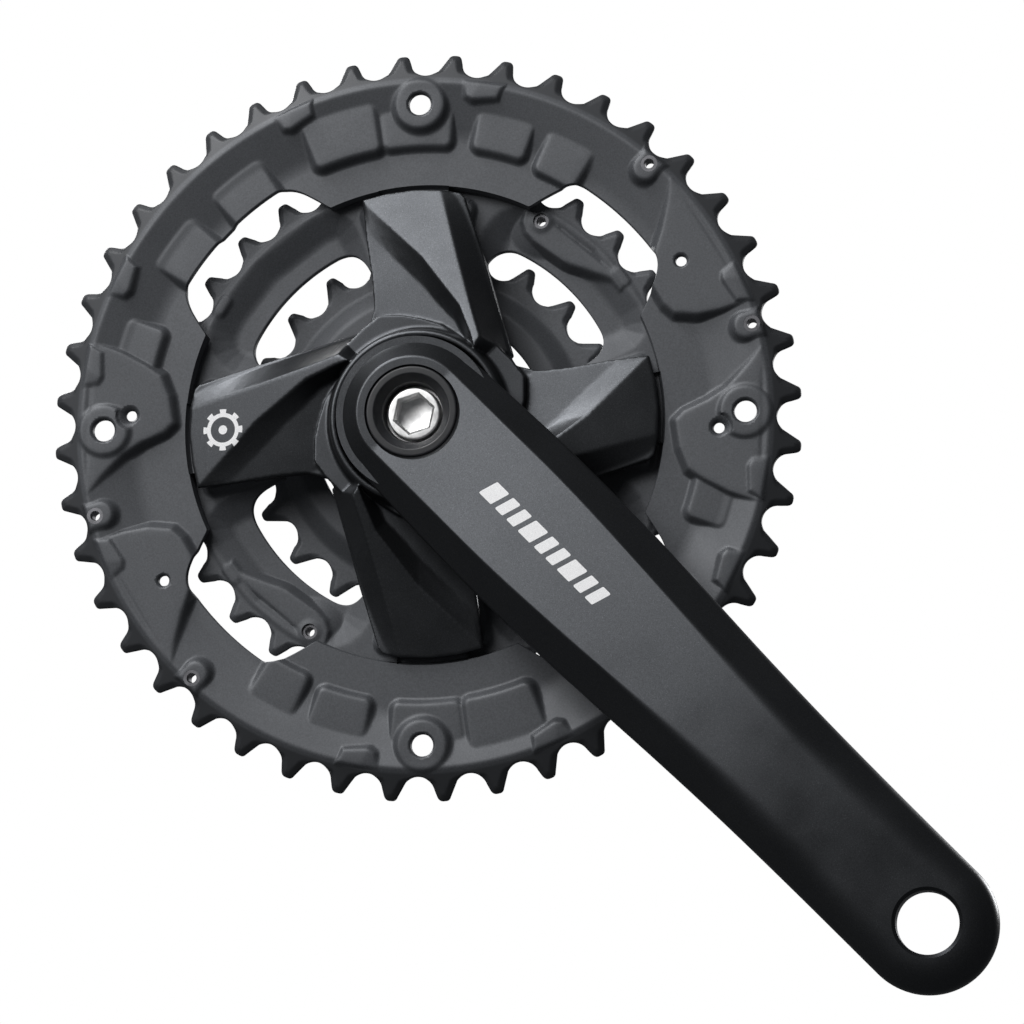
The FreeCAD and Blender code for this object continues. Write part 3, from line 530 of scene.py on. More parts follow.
RIDGE_TAB = [(3.7, 84.2), (2.8, 79.9), (1.4, 79.1), (-3.0, 80.4), (-3.8, 84.2)]
RIDGE_TAB_RISE = 0.5
RIDGE_LIP = 1.2
BOSS_AT_R = 81.0
BOSS_R = 3.0
BOSS_TOP_R = 84.3
BOSS_RISE = 0.6
SEAT_EASE = 0.5
JOGGLE_R = (55.0, 56.0)
BITE_REACH = 1.0


def large_face(r, deg):
    """Front depth of the large ring."""
    slope = SHELF_Y + (r - SHELF_R) * (RIDGE_Y - SHELF_Y) / (RIDGE_R - SHELF_R)
    lip = RIDGE_Y + (r - RIDGE_R) * (LARGE_Y - RIDGE_Y) / RIDGE_LIP
    y = soft_min(np.full_like(r, SHELF_Y), slope, 0.5)
    y = soft_max(y, soft_min(np.full_like(r, LARGE_Y), lip, 0.25), 0.35)
    for r0, r1, a0, a1, top, steep, fade in PADS:
        blend = PAD_BLEND + fade * smooth_step((r0 + r1) / 2.0, r1, r)
        y = raised(y, sector_distance(r, deg, r0, r1, a0, a1, PAD_CORNER), top, steep, blend)
    ramp_top = RIDGE_Y + RAMP_TILT * (RIDGE_R - r)
    for corners in (RAMP_A, RAMP_B):
        y = raised(y, polygon_distance(r, deg, corners, 0.3, 15.0), ramp_top, RAMP_STEEP, 0.3)
    y = np.where(r > RIDGE_R, np.maximum(y, lip), y)
    for pin_deg in SHIFT_PIN_DEGS:
        along = np.radians(wrap(deg - pin_deg, 180.0)) * r
        arch = np.hypot(along, np.minimum(r - BOSS_AT_R, 0.0)) - BOSS_R
        y = raised(y, np.maximum(arch, r - BOSS_TOP_R), RIDGE_Y - BOSS_RISE, 1.7, 0.5)
    for tab_deg in RIDGE_TABS:
        corners = [(tab_deg + a, rr) for a, rr in RIDGE_TAB]
        tab = polygon_distance(r, deg, corners, -0.3, tab_deg)
        fold = np.clip(wrap(deg - tab_deg, 180.0) - 0.9 + 0.3 * (r - 82.0), 0.0, None)
        y = raised(y, tab, RIDGE_Y - RIDGE_TAB_RISE + 0.14 * fold, 1.6, 0.2)
    guard = round_distance(r, deg, GUARD_DEG, GUARD_R, GUARD_TOP_R, 90.0)
    y = raised(y, guard, GUARD_TOP_Y, 1.9, 1.1)
    bite = round_distance(r, deg, RAMP_B_HOLE[0], RAMP_B_HOLE[1], BITE_R, 180.0)
    y = np.where(bite < BITE_REACH, soft_max(y, ramp_top - wall(bite, 3.0, 0.1), 0.05), y)
    seat = smooth_step(LARGE_INNER_R + SEAT_EASE, LARGE_INNER_R, r)
    joggle = seat * smooth_step(JOGGLE_R[0], JOGGLE_R[1], r)
    return y + seat * (TAB_Y - SHELF_Y) + JOGGLE * joggle


def large_ring():
    """The outer ring with its pads, ramps, bosses, windows and tabs."""
    marks = []
    for turn in range(0, 360, 90):
        for side in (-TAB_HALF_DEG, TAB_HALF_DEG):
            marks += [ARM_MID_DEG + turn + side, ARM_MID_DEG + turn + side * 1.005]
    edge = tooth_edge(LARGE_TEETH, LARGE_TIP_R, LARGE_SEAT_DEGS, LARGE_CREST)
    angles, outer = ring_angles(LARGE_TEETH, LARGE_VALLEY_DEG, edge, marks)
    knots = [LARGE_INNER_R + 0.6, SHELF_R, RIDGE_R - 0.3, RIDGE_R + RIDGE_LIP]
    piece = ring_piece("large_ring_sheet", LARGE_TEETH, LARGE_VALLEY_DEG, edge, angles,
                       large_inner(angles), outer, knots, SAMPLE_MM, large_face)
    tools = []
    for turn in range(0, 360, 90):
        tools.append(drill(GUARD_DEG + turn, GUARD_R, GUARD_HOLE_R, -1.8, 0.5))
        tools.append(drill(ARM_MID_DEG + turn, OUTER_RIVET_R, RIVET_R, 0.5, 0.0))
    for turn in (0, 180):
        tools.append(drill(RAMP_A_HOLE[0] + turn, RAMP_A_HOLE[1], TOOLING_HOLE_R, HIGH_PAD_Y, 0.2))
        tools.append(drill(RAMP_B_HOLE[0] + turn, RAMP_B_HOLE[1], TOOLING_HOLE_R, HIGH_PAD_Y + 0.75, 0.1))
        for pin_deg in SHIFT_PIN_DEGS:
            tools.append(drill(pin_deg + turn, SHIFT_PIN_AT_R, SHIFT_PIN_R, RIDGE_Y - 0.9, 0.0))
    tools.append(drill(CRANK_DEG, DROP_PIN_AT_R, SHIFT_PIN_R, -3.0, 0.0))
    carve(piece, tools)
    return piece


# ---- middle ring ----

POCKET = [(19.0, 40.0), (19.3, 50.0), (20.0, 54.0), (22.0, 57.0), (25.0, 58.6), (29.0, 59.1),
          (46.0, 59.1), (60.0, 59.1), (65.0, 58.8), (68.0, 57.7), (71.0, 55.5), (73.0, 52.5),
          (74.0, 49.5), (74.2, 40.0)]
POCKET_STEEP = 0.50
LIFT_PAD = [(65.8, 58.6), (65.0, 54.8), (63.0, 52.8), (60.0, 51.9), (50.0, 51.8), (48.0, 52.3),
            (45.0, 53.6), (40.0, 56.0), (38.0, 57.0), (34.6, 57.2), (34.6, 59.4), (65.6, 59.4)]
WINDOW_MID_DEG = 45.5
WINDOW_FLAT_DEG = 16.0
WINDOW_END_DEG = 9.4
WINDOW_POWER = 2.6
BEAD = 0.35
BEAD_R = (60.9, 59.3)
BEAD_TABS = ((34.4, 39.8), (146.2, 151.8))
BEAD_TAB_R = (57.9, 60.4)
LAND_DEGS = (78.0, 107.0)
LAND_FOOT_R = 20.0
PIN_BOSS_R = 2.1
PIN_BOSS_RISE = 0.35
BEAD_TAB_RISE = 0.25
MIDDLE_KNOTS = [52.0, 59.1]
# shares of a window's rounded end at which its edge is sampled
WINDOW_SHARES = (0.4, 0.6, 0.75, 0.86, 0.93, 0.97, 0.99, 1.0)


def middle_inner(deg):
    """Radius of the inner edge: a round-ended window in each dish."""
    here = np.abs(wrap(deg - WINDOW_MID_DEG, 90.0))
    reach = np.clip((here - WINDOW_FLAT_DEG) / WINDOW_END_DEG, 0.0, 1.0)
    height = (1.0 - reach ** WINDOW_POWER) ** (1.0 / WINDOW_POWER)
    return LAND_INNER_R + (MIDDLE_WINDOW_R - LAND_INNER_R) * height


def middle_face(r, deg):
    """Front depth of the middle ring."""
    pocket = polygon_distance(r, deg, POCKET, 0.0, 46.6, 90.0)
    depth = DISH_Y - MIDDLE_Y
    sunk = soft_min(wall(-pocket, POCKET_STEEP, 0.5), np.full_like(r, depth), 0.5)
    y = MIDDLE_Y + sunk - BEAD * smooth_step(BEAD_R[0], BEAD_R[1], r)
    land = sector_distance(r, deg, LAND_FOOT_R, LAND_R, LAND_DEGS[0], LAND_DEGS[1], 2.0, 90.0)
    y = raised(y, land, LAND_Y, 2.0, 0.5)
    lift = polygon_distance(r, deg, LIFT_PAD, 0.0, 50.0)
    y = raised(y, lift, MIDDLE_Y - BEAD, 1.6, 0.3)
    pin = round_distance(r, deg, MIDDLE_PIN[0], MIDDLE_PIN[1], PIN_BOSS_R, 180.0)
    y = raised(y, pin, MIDDLE_Y - BEAD - PIN_BOSS_RISE, 0.5, 0.3)
    for a0, a1 in BEAD_TABS:
        tab = sector_distance(r, deg, BEAD_TAB_R[0], BEAD_TAB_R[1], a0, a1, 1.2)
        y = raised(y, tab, MIDDLE_Y - BEAD - BEAD_TAB_RISE, 1.8, 0.2)
    return y


def middle_ring():
    """The middle ring with its lands, dishes and lifting pads."""
    marks = []
    for turn in range(0, 360, 90):
        for reach in WINDOW_SHARES:
            marks += [WINDOW_MID_DEG + turn + side * (WINDOW_FLAT_DEG + reach * WINDOW_END_DEG)
                      for side in (-1, 1)]
    edge = tooth_edge(MIDDLE_TEETH, MIDDLE_TIP_R, MIDDLE_SEAT_DEGS, MIDDLE_CREST)
    angles, outer = ring_angles(MIDDLE_TEETH, MIDDLE_VALLEY_DEG, edge, marks)
    piece = ring_piece("middle_ring_sheet", MIDDLE_TEETH, MIDDLE_VALLEY_DEG, edge, angles,
                       middle_inner(angles), outer, MIDDLE_KNOTS, SAMPLE_MM, middle_face)
    tools = []
    for turn in range(0, 360, 90):
        tools.append(drill(ARM_MID_DEG + turn, OUTER_RIVET_R, RIVET_R, 1.0, 0.0))
        tools.append(drill(MIDDLE_RIVET_DEG + turn, MIDDLE_RIVET_R, RIVET_R, 1.0, 0.0))
    for turn in (0, 180):
        tools.append(drill(MIDDLE_PIN[0] + turn, MIDDLE_PIN[1], MIDDLE_PIN_R, MIDDLE_Y - 1.0, 0.0))
    carve(piece, tools)
    return piece


# ---- small ring ----

def small_inner(deg):
    """Radius of the bore, with an ear at each rivet."""
    gap = np.radians(wrap(deg - SMALL_RIVET_DEG, 90.0))
    reach = SMALL_EAR_R ** 2 - (SMALL_RIVET_R * np.sin(gap)) ** 2
    ear = SMALL_RIVET_R * np.cos(gap) - np.sqrt(np.maximum(reach, 0.0))
    return np.where(reach > 0, np.minimum(ear, SMALL_BORE_R), SMALL_BORE_R)


def small_face(r, deg):
    """Front depth of the small ring: plate, cone and tooth band."""
    slope = SMALL_PLATE_Y + (r - CONE_IN_R) * (SMALL_Y - SMALL_PLATE_Y) / (CONE_OUT_R - CONE_IN_R)
    y = soft_max(np.full_like(r, SMALL_PLATE_Y), slope, 0.5)
    return soft_min(y, np.full_like(r, SMALL_Y), 0.5)


def small_ring():
    """The inner ring."""
    edge = tooth_edge(SMALL_TEETH, SMALL_TIP_R, SMALL_SEAT_DEGS, SMALL_CREST)
    angles, outer = ring_angles(SMALL_TEETH, SMALL_VALLEY_DEG, edge)
    piece = ring_piece("small_ring_sheet", SMALL_TEETH, SMALL_VALLEY_DEG, edge, angles,
                       small_inner(angles), outer, [CONE_IN_R, CONE_OUT_R], SMALL_SAMPLE_MM,
                       small_face)
    carve(piece, [drill(SMALL_RIVET_DEG + turn, SMALL_RIVET_R, RIVET_R, 8.0, 0.0)
                  for turn in range(0, 360, 90)])
    return piece


# ==== Crank arm ====

# distance from the spindle, half width of the facet, half width of the arm,
# depth of the facet, drop of the bevel, depth of the back
ARM_ROWS = np.array([
    (0.0, 13.2, 18.7, -15.6, 5.2, -9.2), (18.0, 13.2, 19.4, -17.6, 6.2, -9.2),
    (40.0, 13.1, 19.8, -20.3, 6.7, -9.3), (60.0, 12.2, 19.4, -22.8, 7.0, -9.8),
    (80.0, 11.0, 18.5, -25.3, 7.2, -11.2), (100.0, 10.0, 17.4, -27.7, 7.0, -13.4),
    (120.0, 9.5, 16.6, -29.6, 6.6, -15.8), (140.0, 9.9, 16.2, -30.6, 5.8, -17.4),
    (158.0, 10.6, 16.05, -31.0, 5.0, -18.0), (170.0, 11.0, 16.0, -31.0, 4.6, -18.0)])
ARM_END = ARM_ROWS[-1, 0]
HUB_R = 18.7
HUB_SHOULDER_Y = -4.0
SPIDER_BORE_R = 17.4
WELL_R = 10.05
SEAT_Y = -6.0
SOCKET_HALF = 6.28
TAPER_DEG = 2.0
SNAP_GROOVE_R = 16.4
SNAP_Y = 8.0
SNAP_T = 1.5


def arm_row(u):
    """The arm's section sizes at distances from the spindle, joined smoothly."""
    at = ARM_ROWS[:, 0]
    u = np.clip(np.asarray(u, float), at[0], at[-1])
    k = np.clip(np.searchsorted(at, u, side="right") - 1, 0, len(at) - 2)
    t = ((u - at[k]) / (at[k + 1] - at[k]))[..., None]
    slope = np.gradient(ARM_ROWS[:, 1:], at, axis=0)
    step = (at[k + 1] - at[k])[..., None]
    h00 = 2 * t ** 3 - 3 * t ** 2 + 1
    h10 = t ** 3 - 2 * t ** 2 + t
    h01 = -2 * t ** 3 + 3 * t ** 2
    h11 = t ** 3 - t ** 2
    low = ARM_ROWS[k, 1:]
    high = ARM_ROWS[k + 1, 1:]
    return h00 * low + h10 * step * slope[k] + h01 * high + h11 * step * slope[k + 1]


def corner_arc(before, here, after, radius, steps):
    """Rounded corners, one per station, as arrays of points."""
    back = before - here
    ahead = after - here
    back_len = np.linalg.norm(back, axis=-1, keepdims=True)
    ahead_len = np.linalg.norm(ahead, axis=-1, keepdims=True)
    back = back / back_len
    ahead = ahead / ahead_len
    half = np.arccos(np.clip(np.sum(back * ahead, axis=-1, keepdims=True), -1, 1)) / 2.0
    reach = np.minimum(radius / np.tan(half), np.minimum(back_len, ahead_len) * 0.46)
    t = np.linspace(0.0, 1.0, steps + 1)[None, :, None]
    start = (here + back * reach)[:, None, :]
    end = (here + ahead * reach)[:, None, :]
    return start * (1 - t) ** 2 + here[:, None, :] * 2 * t * (1 - t) + end * t ** 2


def arm_sections(u):
    """Half sections of the arm, from the middle of its face round to the middle of its back."""
    face_half, full_half, face_y, bevel, back_y = arm_row(u).T
    zero = np.zeros_like(face_half)
    middle = np.stack([zero, face_y], -1)
    facet = np.stack([face_half, face_y], -1)
    flank = np.stack([full_half, face_y + bevel], -1)
    under = np.stack([full_half, back_y], -1)
    keel = np.stack([zero, back_y], -1)
    facet_r = (1.1 + 9.0 * smooth_step(70.0, 155.0, u))[:, None]
    flank_r = (2.4 + 3.0 * smooth_step(60.0, 150.0, u))[:, None]
    under_r = (0.05 + 1.9 * smooth_step(4.0, 30.0, u))[:, None]
    across = np.linspace(0.0, 1.0, 8)[None, :-1, None]
    facet_arc = corner_arc(middle, facet, flank, facet_r, 8)
    flank_arc = corner_arc(facet, flank, under, flank_r, 8)
    under_arc = corner_arc(flank, under, keel, under_r, 6)
    front = middle[:, None] + (facet_arc[:, :1] - middle[:, None]) * across
    back = keel[:, None] + (under_arc[:, -1:] - keel[:, None]) * across[:, ::-1]
    return np.concatenate([front, facet_arc, flank_arc, under_arc, back], axis=1)


def arm_body():
    """The arm's outer skin, swept round its outline."""
    side = np.linspace(0.0, ARM_END, 171)[1:-1]
    turns = 49
    u = np.concatenate([np.zeros(turns), side, np.full(turns, ARM_END), side[::-1]])
    heading = np.radians(np.concatenate([np.linspace(90.0, 270.0, turns), np.full(len(side), 270.0),
                                         np.linspace(-90.0, 90.0, turns), np.full(len(side), 90.0)]))
    section = arm_sections(u)
    reach = section[..., 0]
    along_arm = u[:, None] + reach * np.cos(heading)[:, None]
    across = reach * np.sin(heading)[:, None]
    points = np.stack([along_arm, section[..., 1], across], -1)
    piece = new_object("crank_arm_forging", points.reshape(-1, 3), loop_faces(*reach.shape))
    weld(piece, 0.004)
    return piece


def turn_to_crank(piece):
    """Swings a piece built along +X to the crank's rest direction."""
    piece.data.transform(Matrix.Rotation(-math.radians(CRANK_DEG), 4, "Y"))


def prism_faces(count):
    """Sides and ends of a prism whose two outlines have count points each."""
    faces = [[k, (k + 1) % count, (k + 1) % count + count, k + count] for k in range(count)]
    return faces + [list(range(count))[::-1], list(range(count, 2 * count))]


def square_tool():
    """The tapered square that takes the spindle's end."""
    grow = math.tan(math.radians(TAPER_DEG))
    points = []
    for y in (SEAT_Y - 0.5, HUB_BACK_Y + 1.0):
        half = SOCKET_HALF + (y - SEAT_Y) * grow
        outline = rounded([(-half, -half), (half, -half), (half, half), (-half, half)], 0.9, 4)
        points += [(x, y, z) for x, z in outline]
    piece = new_object("square_tool", points, prism_faces(len(points) // 2))
    weld(piece)
    return piece


def crank_arm():
    """The forged arm with its hub, bolt recess, spindle socket and pedal hole."""
    piece = arm_body()
    core_y = -12.0
    core_r = HUB_R - 0.03
    chamfer = 0.8
    hub = lathe("hub", [(0.0, core_y), (core_r, core_y), (core_r, HUB_SHOULDER_Y),
                        (SPIDER_BORE_R, HUB_SHOULDER_Y), (SPIDER_BORE_R, SNAP_Y),
                        (SNAP_GROOVE_R, SNAP_Y), (SNAP_GROOVE_R, SNAP_Y + SNAP_T),
                        (SPIDER_BORE_R, SNAP_Y + SNAP_T), (SPIDER_BORE_R, HUB_BACK_Y - chamfer),
                        (SPIDER_BORE_R - chamfer, HUB_BACK_Y), (0.0, HUB_BACK_Y)], segments=160)
    carve(piece, [hub], "UNION")
    clear_y = -40.0
    recess = lathe("recess", [(0.0, clear_y), (CAP_R + 20.0, clear_y), (CAP_R + 0.5, -16.2),
                              (CAP_R, -15.2), (CAP_R, CAP_BACK_Y), (WELL_R, CAP_BACK_Y),
                              (WELL_R, SEAT_Y), (0.0, SEAT_Y)], segments=160)
    carve(piece, [recess])
    eye_face = ARM_ROWS[-1, 3]
    eye_back = ARM_ROWS[-1, 5]
    lip = 0.8
    past = 5.0
    mouth_r = PEDAL_HOLE_R + lip + past
    eye = lathe("eye", [(0.0, eye_face - past), (mouth_r, eye_face - past),
                        (PEDAL_HOLE_R, eye_face + lip), (PEDAL_HOLE_R, eye_back - lip),
                        (mouth_r, eye_back + past), (0.0, eye_back + past)],
                x=CRANK_LENGTH, segments=128)
    carve(piece, [eye, square_tool()])
    turn_to_crank(piece)
    return piece


# ==== Spider, bolt group and small parts ====

SPIDER_VOXEL = 0.30
HEX_HALF = 4.0
HEX_FLOOR_Y = -7.8
HEX_TURN_DEG = 18.0
CAP_OPENING_R = 6.9


def spider_casting():
    """The cast spider: the CAD form with every edge softened as a casting's would be."""
    piece = placed("spider_casting", frame["nodes"]["spider"].data.copy())
    weld(piece, 0.003)
    remesh = piece.modifiers.new("remesh", "REMESH")
    remesh.mode = "VOXEL"
    remesh.voxel_size = SPIDER_VOXEL * MM
    smooth = piece.modifiers.new("smooth", "SMOOTH")
    smooth.factor = 0.5
    smooth.iterations = 8
    settle(piece)
    return piece


def hexagon_tool(half, top_y, floor_y, turn_deg):
    """A six-sided cutter with a countersunk mouth."""
    r = half / math.cos(math.radians(30.0))
    levels = [(top_y - 2.0, r + 2.6), (top_y + 0.7, r), (floor_y, r), (floor_y + 1.2, 0.0)]
    points = []
    for y, rr in levels[:3]:
        points += [(x, y, z) for x, z in (place(60.0 * k + turn_deg, rr) for k in range(6))]
    points.append((0.0, levels[3][0], 0.0))
    faces = []
    for level in range(2):
        for k in range(6):
            a = level * 6 + k
            b = level * 6 + (k + 1) % 6
            faces.append([a, b, b + 6, a + 6])
    faces += [[12 + k, 12 + (k + 1) % 6, 18] for k in range(6)]
    faces.append(list(range(6))[::-1])
    piece = new_object("hexagon_tool", points, faces)
    weld(piece)
    return piece


def crank_bolt():
    """The flanged crank bolt with its hexagon socket."""
    head_r = 6.3
    flange_y = -8.6
    seat_y = -7.06
    shank_r = 4.0
    outline = rounded([(0.0, BOLT_HEAD_Y), (head_r, BOLT_HEAD_Y), (head_r, flange_y),
                       (BOLT_FLANGE_R, flange_y), (BOLT_FLANGE_R, seat_y), (shank_r, seat_y),
                       (shank_r, BOLT_END_Y), (0.0, BOLT_END_Y)],
                      [0, 0.55, 0.2, 0.3, 0.2, 0.1, 1.0, 0])
    piece = lathe("crank_bolt_machined", outline, segments=128)
    carve(piece, [hexagon_tool(HEX_HALF, BOLT_HEAD_Y, HEX_FLOOR_Y, HEX_TURN_DEG)])
    return piece


def retaining_cap():
    """The black threaded ring round the bolt, with a funnel-shaped opening."""
    outline = rounded([(9.1, CAP_FACE_Y), (CAP_R - 0.12, CAP_FACE_Y), (CAP_R - 0.02, CAP_BACK_Y),
                       (CAP_OPENING_R, CAP_BACK_Y), (CAP_OPENING_R, -11.4), (7.4, -13.2)],
                      [0.5, 0.55, 0.1, 0.1, 0.3, 0.5])
    return lathe("retaining_cap_moulding", outline, segments=128)


def drop_pin():
    """The peg that keeps a dropped chain off the arm."""
    x, z = place(CRANK_DEG, DROP_PIN_AT_R)
    head_r = 3.0
    seat_y = -0.6
    outline = rounded([(0.0, DROP_PIN_FACE_Y), (head_r, DROP_PIN_FACE_Y), (head_r, seat_y),
                       (SHIFT_PIN_R, seat_y), (SHIFT_PIN_R, DROP_PIN_END_Y), (0.0, DROP_PIN_END_Y)],
                      [0, 0.7, 0.1, 0.1, 0.6, 0])
    return lathe("drop_pin_turned", outline, x, z, 64)


# ring, angle, distance from the spindle, depth of the tip, front of the sheet under the head
RIVET_SETS = (("large", ARM_MID_DEG, OUTER_RIVET_R, 0.3, LAND_Y),
              ("middle", MIDDLE_RIVET_DEG, MIDDLE_RIVET_R, 1.4, LAND_Y),
              ("small", SMALL_RIVET_DEG, SMALL_RIVET_R, 1.4, SMALL_PLATE_Y))


def rivet_heads(name, deg0, r, tip_y, seat_y):
    """Four rivets with domed heads at the back."""
    made = []
    head_r = 3.8
    head_t = 1.5
    for turn in range(0, 360, 90):
        x, z = place(deg0 + turn, r)
        swing = np.radians(np.linspace(0.0, 90.0, 7))
        dome = [(head_r * math.cos(a) ** 0.7, seat_y + head_t * math.sin(a)) for a in swing[:-1]]
        outline = [(0.0, tip_y), (RIVET_R, tip_y), (RIVET_R, seat_y)] + dome
        made.append(lathe(name, outline + [(0.0, seat_y + head_t)], x, z, 48))
    return joined(made)


# ==== Generic marks that stand where the printing is ====

MARK_T = 0.03
MARK_SINK = 0.06
BAR_HALF = 2.4
BAR_SLANT = 1.5
BAR_GAP = 1.3
GEAR_AT = (-48.2, -1.6)


def printed_patch(name, outline, surface, per_side=6):
    """A thin raised patch of (x, z) outline that follows a surface depth function."""
    ring = []
    count = len(outline)
    for k in range(count):
        a = Vector(outline[k])
        b = Vector(outline[(k + 1) % count])
        for i in range(per_side):
            ring.append(tuple(a.lerp(b, i / per_side)))
    middle = (sum(p[0] for p in ring) / len(ring), sum(p[1] for p in ring) / len(ring))
    rows = [[(middle[0] + (x - middle[0]) * t, middle[1] + (z - middle[1]) * t) for x, z in ring]
            for t in (0.34, 0.67, 1.0)]
    points = []
    for lift in (-MARK_T, MARK_SINK):
        for row in rows:
            points += [(x, surface(x, z) + lift, z) for x, z in row]
        points.append((middle[0], surface(*middle) + lift, middle[1]))
    n = len(ring)
    half = 3 * n + 1
    faces = []
    for k in range(n):
        k2 = (k + 1) % n
        for base, flip in ((0, 1), (half, -1)):
            faces.append([base + 3 * n, base + k, base + k2][::flip])
            for row in range(2):
                a = base + row * n
                faces.append([a + k, a + n + k, a + n + k2, a + k2][::flip])
        faces.append([2 * n + k, half + 2 * n + k, half + 2 * n + k2, 2 * n + k2])
    piece = new_object(name, points, faces)
    weld(piece, 0.0005)
    return piece


def surface_of(piece):
    """A function giving the front depth of a built piece at (x, z), in mm."""
    work = bmesh.new()
    work.from_mesh(piece.data)
    tree = BVHTree.FromBMesh(work)
    work.free()

    def depth(x, z):
        hit = tree.ray_cast(Vector((x * MM, -0.1, z * MM)), Vector((0, 1, 0)))[0]
        return hit.y / MM
    return depth


def arm_mark(arm):
    """A row of plain slanted bars along the arm's facet."""
    surface = surface_of(arm)
    cos = math.cos(math.radians(CRANK_DEG))
    sin = math.sin(math.radians(CRANK_DEG))
    bars = []
    start = 26.0
    for k in range(9):
        end = start + (2.6 if k % 3 else 4.2)
        corners = [(start, -BAR_HALF), (end, -BAR_HALF), (end + BAR_SLANT, BAR_HALF),
                   (start + BAR_SLANT, BAR_HALF)]
        outline = [(u * cos - w * sin, u * sin + w * cos) for u, w in rounded(corners, 0.35, 2)]
        bars.append(printed_patch("arm_mark_bars", outline, surface, 3))
        start = end + BAR_GAP
    return joined(bars)


def arc_points(x, z, r, a0, a1, count):
    """Points on part of a circle in the plane."""
    turn = np.radians(np.linspace(a0, a1, count))
    return [(x + r * math.cos(a), z + r * math.sin(a)) for a in turn]


def spider_mark(spider):
    """A plain gear outline on the left arm of the spider."""
    surface = surface_of(spider)
    x, z = GEAR_AT
    made = []
    for k in range(8):
        a = 45.0 * k
        for r0, r1, spread in ((3.1, 4.1, 22.5), (4.1, 5.0, 10.0)):
            outline = arc_points(x, z, r1, a - spread, a + spread, 7)
            outline += arc_points(x, z, r0, a + spread, a - spread, 7)
            made.append(printed_patch("spider_mark_gear", outline, surface, 1))
    made.append(printed_patch("spider_mark_gear", arc_points(x, z, 1.1, 0, 345, 24), surface, 1))
    return joined(made)


# ==== Materials ====

def add_node(tree, kind, **settings):
    """A node with its inputs or properties set by name."""
    made = tree.nodes.new(kind)
    for key, value in settings.items():
        label = key.replace("_", " ").title()
        if label in made.inputs:
            made.inputs[label].default_value = value
        else:
            setattr(made, key, value)
    return made


def noise(tree, where, grain_mm, detail=3.0):
    """Noise whose grain has a real size."""
    made = add_node(tree, "ShaderNodeTexNoise", scale=1.0 / (grain_mm * MM), detail=detail)
    tree.links.new(where, made.inputs["Vector"])
    return made.outputs["Fac"]


def ramp(tree, factor, stops):
    """Colours or greys picked by a factor."""
    made = tree.nodes.new("ShaderNodeValToRGB")
    band = made.color_ramp
    band.elements[0].position, band.elements[0].color = stops[0][0], stops[0][1]
    band.elements[1].position, band.elements[1].color = stops[-1][0], stops[-1][1]
    for place_at, colour in stops[1:-1]:
        band.elements.new(place_at).color = colour
    tree.links.new(factor, made.inputs["Fac"])
    return made.outputs["Color"]


def grey(value):
    """A neutral colour."""
    return (value, value, value, 1.0)


def tint(colour, amount):
    """A lighter or darker version of a colour."""
    return tuple(c * amount for c in colour) + (1.0,)


def mixed(tree, factor, first, second):
    """Two colours blended by a factor."""
    made = add_node(tree, "ShaderNodeMix", data_type="RGBA")
    for socket, source in ((made.inputs[0], factor), (made.inputs[6], first), (made.inputs[7], second)):
        if isinstance(source, (tuple, float)):
            socket.default_value = source
        else:
            tree.links.new(source, socket)
    return made.outputs[2]


def finish_material(name, build):
    """A material whose surface is made by a build(tree, where) function."""
    look = bpy.data.materials.new(name)
    look.use_nodes = True
    tree = look.node_tree
    tree.nodes.clear()
    where = tree.nodes.new("ShaderNodeTexCoord").outputs["Object"]
    surface = build(tree, where)
    out = tree.nodes.new("ShaderNodeOutputMaterial")
    tree.links.new(surface.outputs[0], out.inputs["Surface"])
    return look


def uneven_colour(tree, factor, colour, low, high):
    """A colour that runs from a darker to a lighter tint; low and high are (place, amount)."""
    return ramp(tree, factor, [(low[0], tint(colour, low[1])), (high[0], tint(colour, high[1]))])


def uneven_sheen(tree, surface, factor, rough, less, more):
    """Gives a surface a roughness that wanders a little."""
    made = ramp(tree, factor, [(0.3, grey(rough - less)), (0.7, grey(rough + more))])
    tree.links.new(made, surface.inputs["Roughness"])


def bumped(tree, surface, height, depth_mm, strength=1.0):
    """Adds relief of a real depth to a surface."""
    made = add_node(tree, "ShaderNodeBump", strength=strength, distance=depth_mm * MM)
    tree.links.new(height, made.inputs["Height"])
    tree.links.new(made.outputs[0], surface.inputs["Normal"])


def beyond(tree, where, low_mm, high_mm):
    """Rises from 0 to 1 between two distances from the spindle's axis."""
    flat = add_node(tree, "ShaderNodeVectorMath", operation="MULTIPLY")
    flat.inputs[1].default_value = (1.0, 0.0, 1.0)
    tree.links.new(where, flat.inputs[0])
    far = add_node(tree, "ShaderNodeVectorMath", operation="LENGTH")
    tree.links.new(flat.outputs[0], far.inputs[0])
    rise = add_node(tree, "ShaderNodeMapRange", interpolation_type="SMOOTHSTEP")
    rise.inputs["From Min"].default_value = low_mm * MM
    rise.inputs["From Max"].default_value = high_mm * MM
    tree.links.new(far.outputs["Value"], rise.inputs["Value"])
    return rise.outputs["Result"]


